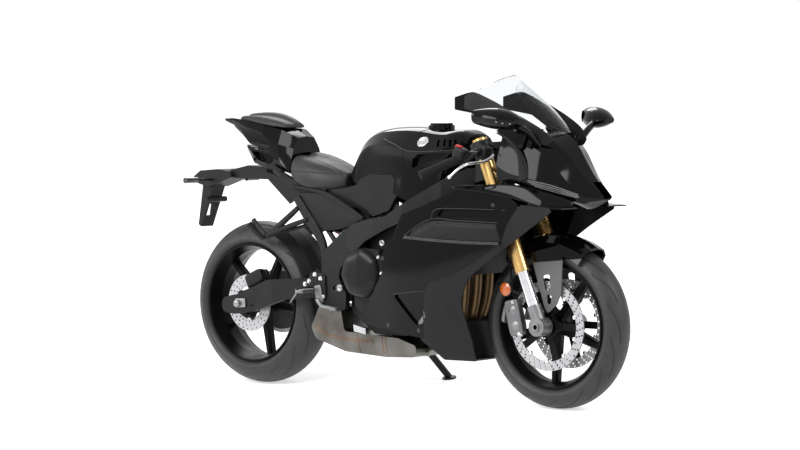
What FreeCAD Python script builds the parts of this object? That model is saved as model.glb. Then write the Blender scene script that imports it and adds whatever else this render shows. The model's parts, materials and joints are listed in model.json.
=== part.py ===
import FreeCAD, Part
import math
import os
import Sketcher
from FreeCAD import Placement, Rotation, Vector

# A faired sport motorcycle, leaning on its side stand. It is modelled upright, X forward,
# Y to the rider's left and Z up, with the origin on the ground midway between the axles.
# The last section leans it on its stand and puts the origin under the middle of its box.

# Driving sizes in millimetres and degrees
SIZES = {
    # Stance
    "wheelbase": 1420, "width": 705, "height": 1180, "ground_clearance": 140,
    "rake": 22.58, "trail": 94, "fork_offset": 28.4, "steering_lock": 27,
    "stand_foot_side": 256, "stand_foot_ahead": 12, "lean_angle": 9.4,
    # Front wheel
    "front_radius": 300, "front_tyre_width": 120, "front_crown": 62, "front_bead": 226,
    "front_rim_width": 104, "front_rim_seat": 219, "front_rim_inner": 204, "front_hub": 34,
    "front_axle_radius": 13, "front_axle_bore": 9, "axle_fit": 0.4,
    # Rear wheel
    "rear_radius": 315, "rear_tyre_width": 180, "rear_crown": 95, "rear_bead": 228,
    "rear_rim_width": 160, "rear_rim_seat": 220, "rear_rim_inner": 205, "rear_hub": 42,
    "rear_axle_radius": 12, "rear_axle_bore": 8,
    # Spokes
    "spoke_count": 5, "spoke_root": 46, "spoke_tip": 26, "spoke_depth": 40, "flange": 7,
    # Brakes
    "front_disc": 160, "front_disc_inner": 127, "front_disc_side": 64, "disc_thickness": 5,
    "carrier_hub": 44, "carrier_thickness": 6, "rear_disc": 110, "rear_disc_inner": 40,
    "rear_disc_side": 88, "caliper_length": 118, "caliper_depth": 62, "caliper_half": 32,
    "rear_caliper_length": 78, "brake_gap": 1.5,
    # Drive
    "chain_side": 105, "chain_pitch": 15.875, "rear_teeth": 48, "front_teeth": 16,
    "chain_height": 14, "chain_width": 19, "sprocket_thickness": 7, "drive_shaft_x": 118,
    "drive_shaft_z": 404, "chain_clearance": 0.6,
    # Fork and steering
    "leg_spacing": 210, "outer_tube": 56, "stanchion": 43, "leg_top": 1028, "gold_end": 520,
    "chrome_end": 392, "lug_radius": 33, "lug_leg": 26, "lug_drop": 34, "yoke_top": 1016, "yoke_thickness": 26,
    "lower_yoke_top": 846, "lower_yoke_thickness": 34, "stem": 24, "stem_bore": 8,
    "head_tube": 34, "head_gap": 2, "clip_on_height": 32, "clip_on_gap": 3, "bar_tube": 22,
    "grip": 33, "grip_length": 124, "lever_thickness": 12,
    # Frame and swingarm
    "spar_thickness": 24, "pivot_x": 222, "pivot_z": 396, "pivot_radius": 12,
    "pivot_boss": 30, "arm_thickness": 27, "arm_side": 146, "spool_radius": 9,
    "spool_bore": 4, "spool_boss": 2, "shock_radius": 28, "stay_radius": 9.5, "cross_radius": 8, "spool_length": 18, "fit": 0.3,
    # Bodywork
    "panel": 4, "seam": 1, "pocket": 12, "screen_thickness": 3, "nose_wall": 4,
    "cap_radius": 42, "cap_height": 7, "cap_hinge": 4, "cap_ring": 29, "seat_foam": 60,
    # Stand, pegs and small parts
    "stand_leg": 13, "stand_foot": 27, "stand_pad": 6, "peg": 13, "peg_length": 62,
    "header": 21, "collector": 34, "lens": 24, "indicator": 11,
    "overrun": 10,
}

doc = FreeCAD.newDocument("SportMotorcycle")
sheet = doc.addObject("Spreadsheet::Sheet", "Sizes")
for row, (alias, value) in enumerate(SIZES.items(), start=1):
    sheet.set("A%d" % row, alias)
    sheet.set("B%d" % row, str(value))
    sheet.setAlias("B%d" % row, alias)
doc.recompute()

ORIGIN = Vector(0, 0, 0)
SIDEWAYS = Vector(0, 1, 0)
UPWARDS = Vector(0, 0, 1)
FORWARDS = Vector(1, 0, 0)
STRAIGHT_SHARE = 0.01
REACH_SHARE = 0.45
TOUCH = 1e-4
pieces = {}


def size(alias):
    """A driving size, as a number."""
    return float(getattr(sheet, alias))


def between(share, known_shares, lengths):
    """The length at a share, straight between the shares whose lengths are known."""
    last = len(known_shares) - 1
    upper = min(last, max(1, sum(1 for known in known_shares if known <= share)))
    low, high = known_shares[upper - 1], known_shares[upper]
    start, end = lengths[upper - 1], lengths[upper]
    return start + (end - start) * (share - low) / (high - low)


# The axles, the pivot and the drive shaft hold their places along the machine, the chain and
# the arms across it, and the rear axle, the pivot and the yokes up it
ALONG_SHARES = [-0.5, -0.15634, -0.0831, 0.5]
ALONG = [-size("wheelbase") / 2, -size("pivot_x"), -size("drive_shaft_x"), size("wheelbase") / 2]
ACROSS_SHARES = [0, 0.16241, 0.2071, 0.5]
ACROSS = [0, size("chain_side") + size("chain_width") / 2, size("arm_side"), size("width") / 2]
YOKE_RISE = math.cos(math.radians(size("rake")))
UP_SHARES = [0, 0.26695, 0.33559, 0.66200, 0.79503, 1]
UP = [0, size("rear_radius"), size("pivot_z"), size("lower_yoke_top") * YOKE_RISE,
      size("yoke_top") * YOKE_RISE, size("height")]


def along(share):
    return between(share, ALONG_SHARES, ALONG)


def across(share):
    return math.copysign(between(abs(share), ACROSS_SHARES, ACROSS), share)


def above(share):
    return between(share, UP_SHARES, UP)


def at(shares):
    """A place given in shares of the wheelbase, the width and the height."""
    return Vector(along(shares[0]), across(shares[1]), above(shares[2]))


# Shapes that the sub-parts share


def rounded_wire(corners, radius=0):
    """A closed flat outline through corners, each corner eased by an arc where there is room."""
    if not radius:
        return Part.makePolygon(corners + corners[:1])
    bends = []
    for index, corner in enumerate(corners):
        before = corners[index - 1] - corner
        after = corners[(index + 1) % len(corners)] - corner
        half = before.getAngle(after) / 2
        if math.cos(half) < STRAIGHT_SHARE:
            bends.append((corner, None, corner))
            continue
        reach = min(radius / math.tan(half), before.Length * REACH_SHARE, after.Length * REACH_SHARE)
        start = corner + before.normalize() * reach
        end = corner + after.normalize() * reach
        inward = ((start + end) / 2 - corner).normalize()
        eased = reach * math.tan(half)
        top = corner + inward * (eased / math.sin(half) - eased)
        bends.append((start, top, end))
    edges = []
    for index, (start, top, end) in enumerate(bends):
        last_end = bends[index - 1][2]
        if last_end.distanceToPoint(start) > TOUCH:
            edges.append(Part.makeLine(last_end, start))
        if top:
            edges.append(Part.Arc(start, top, end).toShape())
    return Part.Wire(edges)


def side_prism(outline_shares, low_y, high_y, radius=0):
    """A plate between two places across the machine, cut to an outline seen from the side."""
    corners = [at((xs, 0, zs)) + Vector(0, low_y, 0) for xs, zs in outline_shares]
    return Part.Face(rounded_wire(corners, radius)).extrude(Vector(0, high_y - low_y, 0))


def plan_prism(outline_shares, low_z, high_z):
    """A block between two heights, cut to an outline seen from above."""
    corners = [at((xs, ys, 0)) + Vector(0, 0, low_z) for xs, ys in outline_shares]
    return Part.Face(rounded_wire(corners)).extrude(Vector(0, 0, high_z - low_z))


def ring_wire(points, smooth):
    """A closed wire through points, either smooth or with straight sides."""
    if not smooth:
        return Part.makePolygon(points + points[:1])
    curve = Part.BSplineCurve()
    curve.interpolate(Points=points, PeriodicFlag=True)
    return Part.Wire([curve.toShape()])


def creased_wire(points, corners):
    """A closed wire through points that breaks at its corners and is smooth between them."""
    edges = []
    for first, last in zip(corners, corners[1:] + corners[:1]):
        run = points[first:last + 1] if last > first else points[first:] + points[:last + 1]
        if len(run) == 2:
            edges.append(Part.makeLine(run[0], run[1]))
            continue
        curve = Part.BSplineCurve()
        curve.interpolate(Points=run)
        edges.append(curve.toShape())
    return Part.Wire(edges)


def creased_hull(stations, creases):
    """A body lofted through half outlines as a hull is, with creases that run along it."""
    wires = []
    for x_share, half_shares in stations:
        half = [at((x_share, ys, zs)) for ys, zs in half_shares]
        other = [Vector(point.x, -point.y, point.z) for point in reversed(half[1:-1])]
        whole = 2 * len(half) - 2
        corners = sorted(set(creases) | {whole - crease for crease in creases})
        wires.append(creased_wire(half + other, corners))
    return Part.makeLoft(wires, True, False)


def hull(stations, smooth=True, inset=0, ruled=False):
    """A body lofted through stations along the machine, each a half outline from the top of
    the middle plane round to its foot, made whole by its mirror image."""
    wires = []
    for x_share, half_shares in stations:
        half = [at((x_share, ys, zs)) for ys, zs in half_shares]
        if inset:
            middle = sum((point.z for point in half)) / len(half)
            half = [Vector(p.x, max(p.y - inset, 0), p.z + math.copysign(inset, middle - p.z)) for p in half]
        other = [Vector(p.x, -p.y, p.z) for p in reversed(half) if p.y > 0]
        wires.append(ring_wire(half + other, smooth))
    return Part.makeLoft(wires, True, ruled)


def bar(start, end, radius):
    """A round bar between two points."""
    return Part.makeCylinder(radius, (end - start).Length, start, end - start)


def sweep(points, radius, bend_share=0.45):
    """A round bar along a bent path: straight runs joined by arcs as large as they allow."""
    edges = []
    cursor = points[0]
    for before, corner, after in zip(points, points[1:], points[2:]):
        back = before - corner
        ahead = after - corner
        reach = bend_share * min(back.Length, ahead.Length)
        half = back.getAngle(ahead) / 2
        start = corner + back.normalize() * reach
        end = corner + ahead.normalize() * reach
        true_radius = reach * math.tan(half)
        inward = ((start + end) / 2 - corner).normalize()
        centre = corner + inward * (true_radius / math.sin(half))
        middle = centre - inward * true_radius
        if cursor.distanceToPoint(start) > 1e-4:
            edges.append(Part.makeLine(cursor, start))
        edges.append(Part.Arc(start, middle, end).toShape())
        cursor = end
    edges.append(Part.makeLine(cursor, points[-1]))
    path = Part.Wire(edges)
    ring = Part.Wire([Part.makeCircle(radius, points[0], points[1] - points[0])])
    return path.makePipeShell([ring], True, False)


def mirrored(shape):
    """The same shape on the other side of the machine."""
    return shape.mirror(ORIGIN, SIDEWAYS)


def both_sides(shape):
    """A shape and its mirror image, as one node of two solids."""
    return Part.makeCompound([shape, mirrored(shape)])


def fused(shapes):
    """One solid of shapes that meet."""
    return shapes[0].multiFuse(shapes[1:]).removeSplitter()


def surface(rows):
    """A smooth face through a grid of points."""
    sheet_surface = Part.BSplineSurface()
    sheet_surface.interpolate(rows)
    return sheet_surface.toShape()


def keep(name, shape):
    """A sub-part whose form no ready-made feature gives."""
    piece = doc.addObject("Part::Feature", name)
    piece.Label = name
    piece.Shape = shape
    pieces[name] = piece
    return piece


# Sketches on a body's own planes, each corner held by two sizes from the sheet


def origin_plane(body, role):
    return [feature for feature in body.Origin.OriginFeatures if feature.Role == role][0]


def new_body(name):
    body = doc.addObject("PartDesign::Body", name)
    body.Label = name
    pieces[name] = body
    return body


def new_sketch(body, role, name, offset=None):
    sketch = body.newObject("Sketcher::SketchObject", name)
    sketch.AttachmentSupport = [(origin_plane(body, role), "")]
    sketch.MapMode = "FlatFace"
    if offset:
        sketch.setExpression("AttachmentOffset.Base.z", offset)
    return sketch


def hold(sketch, kind, first, first_end, value, second=None, second_end=None):
    """A sketch constraint whose value follows an expression in the sheet's sizes."""
    number = sketch.evalExpression(value)
    number = float(getattr(number, "Value", number))
    if second is None:
        index = sketch.addConstraint(Sketcher.Constraint(kind, first, number))
    else:
        index = sketch.addConstraint(Sketcher.Constraint(kind, first, first_end, second, second_end, number))
    sketch.setExpression("Constraints[%d]" % index, value)


def closed_outline(sketch, corners):
    """A closed outline. A corner is a pair of expressions, with a third for the radius of an
    arc from it to the next corner, negative where the arc bulges to the other side."""
    def number(text):
        found = sketch.evalExpression(text)
        return float(getattr(found, "Value", found))

    points = [Vector(number(corner[0]), number(corner[1]), 0) for corner in corners]
    for index, corner in enumerate(corners):
        start = points[index]
        end = points[(index + 1) % len(corners)]
        if len(corner) == 2:
            sketch.addGeometry(Part.LineSegment(start, end))
            continue
        radius = number(corner[2])
        chord = end - start
        across = Vector(-chord.y, chord.x, 0).normalize()
        sag = abs(radius) - math.sqrt(radius * radius - chord.Length * chord.Length / 4)
        middle = (start + end) / 2 + across * math.copysign(sag, radius)
        sketch.addGeometry(Part.Arc(start, middle, end))
    arc_ends = {}
    for index, corner in enumerate(corners):
        flipped = len(corner) == 3 and sketch.Geometry[index].StartPoint.distanceToPoint(points[index]) > 1e-3
        arc_ends[index] = (2, 1) if flipped else (1, 2)
    for index, corner in enumerate(corners):
        following = (index + 1) % len(corners)
        sketch.addConstraint(Sketcher.Constraint(
            "Coincident", index, arc_ends[index][1], following, arc_ends[following][0]))
        hold(sketch, "DistanceX", -1, 1, corner[0], index, arc_ends[index][0])
        hold(sketch, "DistanceY", -1, 1, corner[1], index, arc_ends[index][0])
        if len(corner) == 3:
            hold(sketch, "Radius", index, None, "abs(%s)" % corner[2])


def circle(sketch, radius, x="0", y="0"):
    """A circle held by expressions for its radius and centre."""
    place = [sketch.evalExpression(text) for text in (x, y, radius)]
    place = [float(getattr(value, "Value", value)) for value in place]
    index = sketch.addGeometry(Part.Circle(Vector(place[0], place[1], 0), UPWARDS, place[2]))
    hold(sketch, "Radius", index, None, radius)
    for kind, text in (("DistanceX", x), ("DistanceY", y)):
        if text == "0":
            continue
        hold(sketch, kind, -1, 1, text, index, 3)
    if x == "0" and y == "0":
        sketch.addConstraint(Sketcher.Constraint("Coincident", index, 3, -1, 1))
    elif x == "0" or y == "0":
        axis = -2 if x == "0" else -1
        sketch.addConstraint(Sketcher.Constraint("PointOnObject", index, 3, axis))


def revolve(body, sketch):
    """A full turn about the sketch's upright axis."""
    turn = body.newObject("PartDesign::Revolution", "Turn")
    turn.Profile = sketch
    turn.ReferenceAxis = (sketch, ["V_Axis"])
    turn.Angle = 360
    return turn


def pad(body, sketch, length, name="Pad"):
    """A plate half to each side of the sketch."""
    plate = body.newObject("PartDesign::Pad", name)
    plate.Profile = sketch
    plate.SideType = "Symmetric"
    plate.setExpression("Length", length)
    return plate


def pattern(body, feature, count):
    """A feature repeated about the body's Y axis."""
    polar = body.newObject("PartDesign::PolarPattern", "Round")
    polar.Originals = [feature]
    polar.Axis = (origin_plane(body, "Y_Axis"), [""])
    polar.Angle = 360
    polar.setExpression("Occurrences", count)
    body.Tip = polar
    return polar


# Places that several sub-parts use
FRONT_AXLE = Vector(size("wheelbase") / 2, 0, size("front_radius"))
REAR_AXLE = Vector(-size("wheelbase") / 2, 0, size("rear_radius"))
PIVOT = Vector(-size("pivot_x"), 0, size("pivot_z"))
RAKE = math.radians(size("rake"))
STEERING_AXIS = Vector(-math.sin(RAKE), 0, math.cos(RAKE))
STEERING_AHEAD = Vector(math.cos(RAKE), 0, math.sin(RAKE))
STEERING_FOOT = Vector(FRONT_AXLE.x + size("trail"), 0, 0)
LEG_SIDE = size("leg_spacing") / 2


def steer(along, ahead=0, side=0):
    """A place measured along the steering axis from the ground, ahead of it and to the left."""
    return STEERING_FOOT + STEERING_AXIS * along + STEERING_AHEAD * ahead + SIDEWAYS * side


# Wheels


def tyre(name, end, centre):
    """A tyre as one turned ring: a round crown between two shoulders, and its beads."""
    body = new_body(name)
    sketch = new_sketch(body, "XY_Plane", name + "_section")
    half = "(Sizes.%s_tyre_width / 2)" % end
    crown = "Sizes.%s_crown" % end
    shoulder = "(Sizes.%s_radius - %s + sqrt(%s ^ 2 - %s ^ 2))" % (end, crown, crown, half)
    bead = "Sizes.%s_bead" % end
    bead_half = "(Sizes.%s_rim_width / 2 - Sizes.flange - Sizes.fit)" % end
    closed_outline(sketch, [
        (shoulder, "-" + half, "-" + crown),
        (shoulder, half),
        ("(%s + 1.2 * Sizes.flange)" % bead, bead_half),
        ("(Sizes.%s_rim_seat + Sizes.fit)" % end, bead_half),
        ("(Sizes.%s_rim_seat + Sizes.fit)" % end, "-" + bead_half),
        ("(%s + 1.2 * Sizes.flange)" % bead, "-" + bead_half),
    ])
    revolve(body, sketch)
    body.Placement = Placement(centre, Rotation())
    return body


def rim(name, end, centre, first_angle, hub_half):
    """A cast wheel: hub out to the discs' seats, barrel with two flanges, and tapered spokes."""
    body = new_body(name)
    half = "(Sizes.%s_rim_width / 2)" % end
    seat = "Sizes.%s_rim_seat" % end
    inner = "Sizes.%s_rim_inner" % end
    bead = "Sizes.%s_bead" % end
    hub = "Sizes.%s_hub" % end
    bore = "(Sizes.%s_axle_radius + Sizes.axle_fit)" % end
    barrel = new_sketch(body, "XY_Plane", name + "_barrel")
    closed_outline(barrel, [
        (bead, half), (seat, "(%s - Sizes.flange)" % half),
        (seat, "-(%s - Sizes.flange)" % half), (bead, "-" + half),
        ("(%s - Sizes.flange)" % bead, "-" + half), (inner, "-(%s / 3)" % half),
        (inner, "(%s / 3)" % half), ("(%s - Sizes.flange)" % bead, half),
    ])
    revolve(body, barrel)
    core = new_sketch(body, "XY_Plane", name + "_hub")
    closed_outline(core, [
        (bore, hub_half), (hub, hub_half), (hub, "-" + hub_half), (bore, "-" + hub_half)])
    revolve(body, core)
    sections = []
    for place, width, reach in ((hub, "spoke_root", 0.7), (inner, "spoke_tip", 1.02)):
        section = new_sketch(body, "YZ_Plane", name + "_spoke", "%s * %s" % (place, reach))
        wide = "(Sizes.%s / 2)" % width
        deep = "(Sizes.spoke_depth / 2)"
        closed_outline(section, [
            ("-" + deep, "-%s / 2" % wide), ("-" + deep, "%s / 2" % wide), ("-%s / 2" % deep, wide),
            ("%s / 2" % deep, wide), (deep, "%s / 2" % wide), (deep, "-%s / 2" % wide),
            ("%s / 2" % deep, "-" + wide), ("-%s / 2" % deep, "-" + wide)])
        sections.append(section)
    doc.recompute()
    spoke = body.newObject("PartDesign::AdditiveLoft", "Spoke")
    spoke.Profile = sections[0]
    spoke.Sections = sections[1:]
    spoke.Ruled = True
    doc.recompute()
    pattern(body, spoke, "Sizes.spoke_count")
    body.Placement = Placement(centre, Rotation(SIDEWAYS, first_angle))
    return body


def disc_band(name, outer, inner, side, centre):
    """A brake disc's swept band."""
    body = new_body(name)
    sketch = new_sketch(body, "XZ_Plane", name + "_band")
    circle(sketch, "Sizes." + outer)
    circle(sketch, "Sizes." + inner)
    pad(body, sketch, "Sizes.disc_thickness")
    body.Placement = Placement(centre + Vector(0, side, 0), Rotation())
    return body


def carrier(side):
    """A disc's carrier: a hub ring and arms out to the bobbins."""
    thickness = size("carrier_thickness")
    centre = FRONT_AXLE + Vector(0, side - thickness / 2, 0)
    hub = Part.makeCylinder(size("carrier_hub"), thickness, centre, SIDEWAYS)
    bore = Part.makeCylinder(size("front_hub") - size("flange"), thickness, centre, SIDEWAYS)
    arms = []
    for index in range(int(size("spoke_count"))):
        reach = size("front_disc_inner") - size("fit")
        arm = Part.makeBox(reach, thickness, size("spoke_tip"))
        arm.translate(Vector(0, -thickness / 2, -size("spoke_tip") / 2))
        arm.rotate(ORIGIN, SIDEWAYS, 360 * index / size("spoke_count"))
        arm.translate(FRONT_AXLE + Vector(0, side, 0))
        arms.append(arm)
    band = Part.makeCylinder(size("front_disc_inner") - size("fit"), thickness, centre, SIDEWAYS)
    return fused([hub] + arms).cut(bore).common(band)


tyre("front_tyre", "front", FRONT_AXLE)
tyre("rear_tyre", "rear", REAR_AXLE)
rim("front_rim", "front", FRONT_AXLE, 20, "(Sizes.front_disc_side - Sizes.carrier_thickness / 2 - Sizes.fit)")
rim("rear_rim", "rear", REAR_AXLE, 8, "(Sizes.rear_disc_side - Sizes.disc_thickness / 2 - Sizes.fit)")
disc_band("front_disc_left", "front_disc", "front_disc_inner", size("front_disc_side"), FRONT_AXLE)
disc_band("front_disc_right", "front_disc", "front_disc_inner", -size("front_disc_side"), FRONT_AXLE)
disc_band("rear_disc", "rear_disc", "rear_disc_inner", -size("rear_disc_side"), REAR_AXLE)
keep("front_disc_carriers", both_sides(carrier(size("front_disc_side"))))


def pitch_radius(teeth):
    return size("chain_pitch") / (2 * math.sin(math.pi / size(teeth)))


def chain_loop(offset):
    """The outline of the chain's loop round both sprockets, moved outwards by offset."""
    big = pitch_radius("rear_teeth") + offset
    small = pitch_radius("front_teeth") + offset
    front = Vector(-size("drive_shaft_x"), 0, size("drive_shaft_z"))
    line = front - REAR_AXLE
    spread = math.acos((big - small) / line.Length)
    heading = math.atan2(line.z, line.x)

    def point(centre, radius, angle):
        return Vector(centre.x + radius * math.cos(angle), 0, centre.z + radius * math.sin(angle))

    top_rear = point(REAR_AXLE, big, heading + spread)
    low_rear = point(REAR_AXLE, big, heading - spread)
    top_front = point(front, small, heading + spread)
    low_front = point(front, small, heading - spread)
    return Part.Wire([
        Part.makeLine(top_rear, top_front),
        Part.Arc(top_front, point(front, small, heading), low_front).toShape(),
        Part.makeLine(low_front, low_rear),
        Part.Arc(low_rear, point(REAR_AXLE, big, heading + math.pi), top_rear).toShape()])


def sprocket():
    """The rear sprocket: teeth round a plate with openings, on its drive hub."""
    body = new_body("rear_sprocket")
    sketch = new_sketch(body, "XZ_Plane", "sprocket_plate")
    circle(sketch, "Sizes.chain_pitch / (2 * sin(180 / Sizes.rear_teeth)) - Sizes.chain_height / 2"
                   " - Sizes.chain_clearance")
    circle(sketch, "Sizes.rear_axle_radius + Sizes.axle_fit")
    pad(body, sketch, "Sizes.sprocket_thickness")
    hub_width = "(Sizes.chain_side - Sizes.rear_disc_side + Sizes.disc_thickness / 2)"
    hub = new_sketch(body, "XZ_Plane", "sprocket_hub", hub_width + " / 2")
    circle(hub, "Sizes.rear_hub")
    circle(hub, "Sizes.rear_axle_radius + Sizes.axle_fit")
    pad(body, hub, hub_width, "Hub")
    body.Placement = Placement(REAR_AXLE + Vector(0, size("chain_side"), 0), Rotation())
    return body


sprocket()


def axle(name, radius, bore, half_length, centre):
    """A hollow wheel axle."""
    body = new_body(name)
    sketch = new_sketch(body, "XZ_Plane", name + "_tube")
    circle(sketch, "Sizes." + radius)
    circle(sketch, "Sizes." + bore)
    pad(body, sketch, half_length)
    body.Placement = Placement(centre, Rotation())
    return body


axle("front_axle", "front_axle_radius", "front_axle_bore", "Sizes.leg_spacing + 2 * Sizes.lug_radius", FRONT_AXLE)
axle("rear_axle", "rear_axle_radius", "rear_axle_bore", "2 * Sizes.arm_side + 2 * Sizes.spool_length", REAR_AXLE)


# Fork, yokes and bars
LEG_AHEAD = size("fork_offset")


def fork_leg(first, last, radius, side=LEG_SIDE):
    return bar(steer(first, LEG_AHEAD, side), steer(last, LEG_AHEAD, side), radius)


gold = fork_leg(size("gold_end"), size("leg_top"), size("outer_tube") / 2)
keep("fork_tubes", both_sides(gold))
chrome = fork_leg(size("chrome_end"), size("gold_end") - size("fit"), size("stanchion") / 2)
keep("fork_stanchions", both_sides(chrome))

AXLE_ALONG = (FRONT_AXLE - STEERING_FOOT).dot(STEERING_AXIS)


def axle_lug():
    """The casting at a leg's foot, which holds the axle and carries the caliper."""
    leg = fork_leg(AXLE_ALONG, size("chrome_end") - size("fit"), size("lug_leg"))
    clamp = Part.makeCylinder(size("lug_radius"), size("outer_tube"),
                              FRONT_AXLE + Vector(0, LEG_SIDE - size("outer_tube") / 2, 0), SIDEWAYS)
    hole = Part.makeCylinder(size("front_axle_radius") + size("axle_fit"), 2 * size("leg_spacing"),
                             FRONT_AXLE - Vector(0, size("leg_spacing"), 0), SIDEWAYS)
    return fused([leg, clamp]).cut(hole)


keep("axle_lugs", both_sides(axle_lug()))


def yoke(top, thickness):
    """A yoke: two eyes round the legs and the web between them."""
    eye = size("outer_tube") / 2 + size("yoke_thickness") / 2
    eyes = [bar(steer(top - thickness, LEG_AHEAD, side), steer(top, LEG_AHEAD, side), eye)
            for side in (LEG_SIDE, -LEG_SIDE)]
    web = Part.makeBox(eye, size("leg_spacing"), thickness)
    web.translate(Vector(-eye / 2, -LEG_SIDE, 0))
    hub = Part.makeCylinder(size("stem") + size("yoke_thickness") / 2, thickness)
    turn = Placement(steer(top - thickness), Rotation(SIDEWAYS, -size("rake")))
    web.Placement = turn.multiply(Placement(Vector(LEG_AHEAD / 2 - eye / 2, -LEG_SIDE, 0), Rotation()))
    hub.Placement = turn
    holes = [fork_leg(size("gold_end"), size("leg_top") + size("overrun"), size("outer_tube") / 2 + size("fit"), side)
             for side in (LEG_SIDE, -LEG_SIDE)]
    plate = fused(eyes + [web, hub])
    for hole in holes:
        plate = plate.cut(hole)
    return plate


upper = yoke(size("yoke_top"), size("yoke_thickness"))
lower = yoke(size("lower_yoke_top"), size("lower_yoke_thickness"))
stem = bar(steer(size("lower_yoke_top") - size("lower_yoke_thickness")), steer(size("yoke_top")), size("stem"))
stem_bore = bar(steer(size("lower_yoke_top") - size("lower_yoke_thickness") - size("overrun")),
                steer(size("yoke_top") + size("overrun")), size("stem_bore"))
keep("yokes", fused([upper, lower, stem]).cut(stem_bore))

# The right grip's inner and outer end, and the tip of its lever
GRIP_INNER = at((0.307, -0.312, 0.757))
GRIP_OUTER = at((0.252, -0.468, 0.711))
LEVER_TIP = at((0.329, -0.462, 0.701))
BAR_LINE = (GRIP_OUTER - GRIP_INNER).normalize()


def clip_on():
    """A clip-on: a clamp round the fork leg, the bar tube ahead of it, its switch pod,
    the lever's perch and the lever."""
    high = size("yoke_top") - size("yoke_thickness") - size("clip_on_gap")
    low = high - size("clip_on_height")
    collar = fork_leg(low, high, size("outer_tube") / 2 + size("flange"), -LEG_SIDE)
    hole = fork_leg(low - size("overrun"), high + size("overrun"), size("outer_tube") / 2 + size("fit"), -LEG_SIDE)
    inner = GRIP_INNER - BAR_LINE * (size("grip_length") * 0.62)
    tube = bar(inner, GRIP_OUTER - BAR_LINE * size("fit"), size("bar_tube") / 2)
    middle = (steer(low, LEG_AHEAD, -LEG_SIDE) + steer(high, LEG_AHEAD, -LEG_SIDE)) / 2
    boss = bar(middle, inner, size("bar_tube") / 2)
    elbow = Part.makeSphere(size("bar_tube") / 2, inner)
    pod = bar(GRIP_INNER - BAR_LINE * size("grip"), GRIP_INNER - BAR_LINE * size("fit"), size("grip") * 0.6)
    perch = GRIP_INNER - BAR_LINE * (size("grip") * 1.3)
    lever_root = perch + FORWARDS * (size("grip") * 1.1)
    arm = bar(perch, lever_root, size("grip") / 3)
    lever = sweep([lever_root - FORWARDS * size("lever_thickness"),
                   lever_root + BAR_LINE * size("grip"), LEVER_TIP], size("lever_thickness") / 2)
    ball = Part.makeSphere(size("lever_thickness") * 0.8, LEVER_TIP)
    return fused([collar, boss, elbow, tube, pod, arm, lever, ball]).cut(hole)


keep("handlebars", both_sides(clip_on()))


def grip():
    sleeve = bar(GRIP_INNER, GRIP_OUTER, size("grip") / 2)
    bore = bar(GRIP_INNER - BAR_LINE * size("overrun"), GRIP_OUTER, size("bar_tube") / 2 + size("fit"))
    end = bar(GRIP_OUTER, GRIP_OUTER + BAR_LINE * size("lever_thickness"), size("grip") / 2)
    return fused([sleeve.cut(bore), end])


keep("grips", both_sides(grip()))


def front_caliper():
    """A radial caliper behind the leg, straddling the disc."""
    along = size("front_disc") - size("caliper_depth") / 2
    angle = 168
    turn = Rotation(SIDEWAYS, -angle)
    block = Part.makeBox(size("caliper_depth"), 2 * size("caliper_half"), size("caliper_length"))
    block.translate(Vector(along - size("caliper_depth") / 2, -size("caliper_half"), -size("caliper_length") / 2))
    block.Placement = Placement(FRONT_AXLE + Vector(0, size("front_disc_side"), 0), turn).multiply(block.Placement)
    slot = Part.makeCylinder(size("front_disc") + size("brake_gap"), size("disc_thickness") + 2 * size("brake_gap"),
                             FRONT_AXLE + Vector(0, size("front_disc_side") - size("disc_thickness") / 2
                                                 - size("brake_gap"), 0), SIDEWAYS)
    leg = fork_leg(AXLE_ALONG - size("lug_drop"), size("gold_end"), size("lug_leg") + size("fit"))
    lug = Part.makeCylinder(size("lug_radius") + size("fit"), size("leg_spacing"),
                            FRONT_AXLE, SIDEWAYS)
    return block.cut(slot).cut(leg).cut(lug)


keep("front_calipers", both_sides(front_caliper()))


# Outlines about the front axle in shares of the tyre's radius
FENDER_PLATE_SHARES = [
    (-0.227, 0.868), (0.189, 0.967), (0.251, 0.849), (0.227, 0.396), (0.166, 0.267), (0.033, 0.149),
    (-0.014, 0.219),
]
FENDER_HOLES_SHARES = [
    [(-0.04, 0.60), (0.06, 0.62), (0.07, 0.44), (0.0, 0.42)],
    [(0.02, 0.38), (0.09, 0.38), (0.08, 0.27), (0.03, 0.26)],
]


def wheel_prism(outline_shares, low_y, high_y, radius=0):
    """A plate across the machine, cut to an outline about the front axle."""
    corners = [FRONT_AXLE + Vector(xs * size("front_radius"), low_y, zs * size("front_radius"))
               for xs, zs in outline_shares]
    return Part.Face(rounded_wire(corners, radius)).extrude(Vector(0, high_y - low_y, 0))


def front_fender():
    """A thin arch over the tyre with a side plate down to each fork leg."""
    inner = size("front_radius") + 30
    section_shares = [(0.0, 1.0), (0.55, 0.975), (0.92, 0.90), (1.0, 0.80)]
    half = LEG_SIDE - size("outer_tube") / 2 - size("fit")
    wall = size("panel")
    outer = [Vector(inner * up, half * across, 0) for across, up in section_shares]
    points = [Vector(p.x, -p.y, 0) for p in reversed(outer[1:])] + outer
    under = [Vector(p.x - wall, p.y * (1 - wall / half), 0) for p in reversed(points)]
    face = Part.Face(Part.makePolygon(points + under + points[:1]))
    arch = face.revolve(ORIGIN, SIDEWAYS, 70)
    arch.rotate(ORIGIN, SIDEWAYS, -128)
    arch.translate(FRONT_AXLE)
    plate = wheel_prism(FENDER_PLATE_SHARES, half - wall, half, size("spool_length"))
    for hole_shares in FENDER_HOLES_SHARES:
        plate = plate.cut(wheel_prism(hole_shares, half - 2 * wall, half + wall, size("flange")))
    return fused([arch, plate, mirrored(plate)])


keep("front_fender", front_fender())

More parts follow.
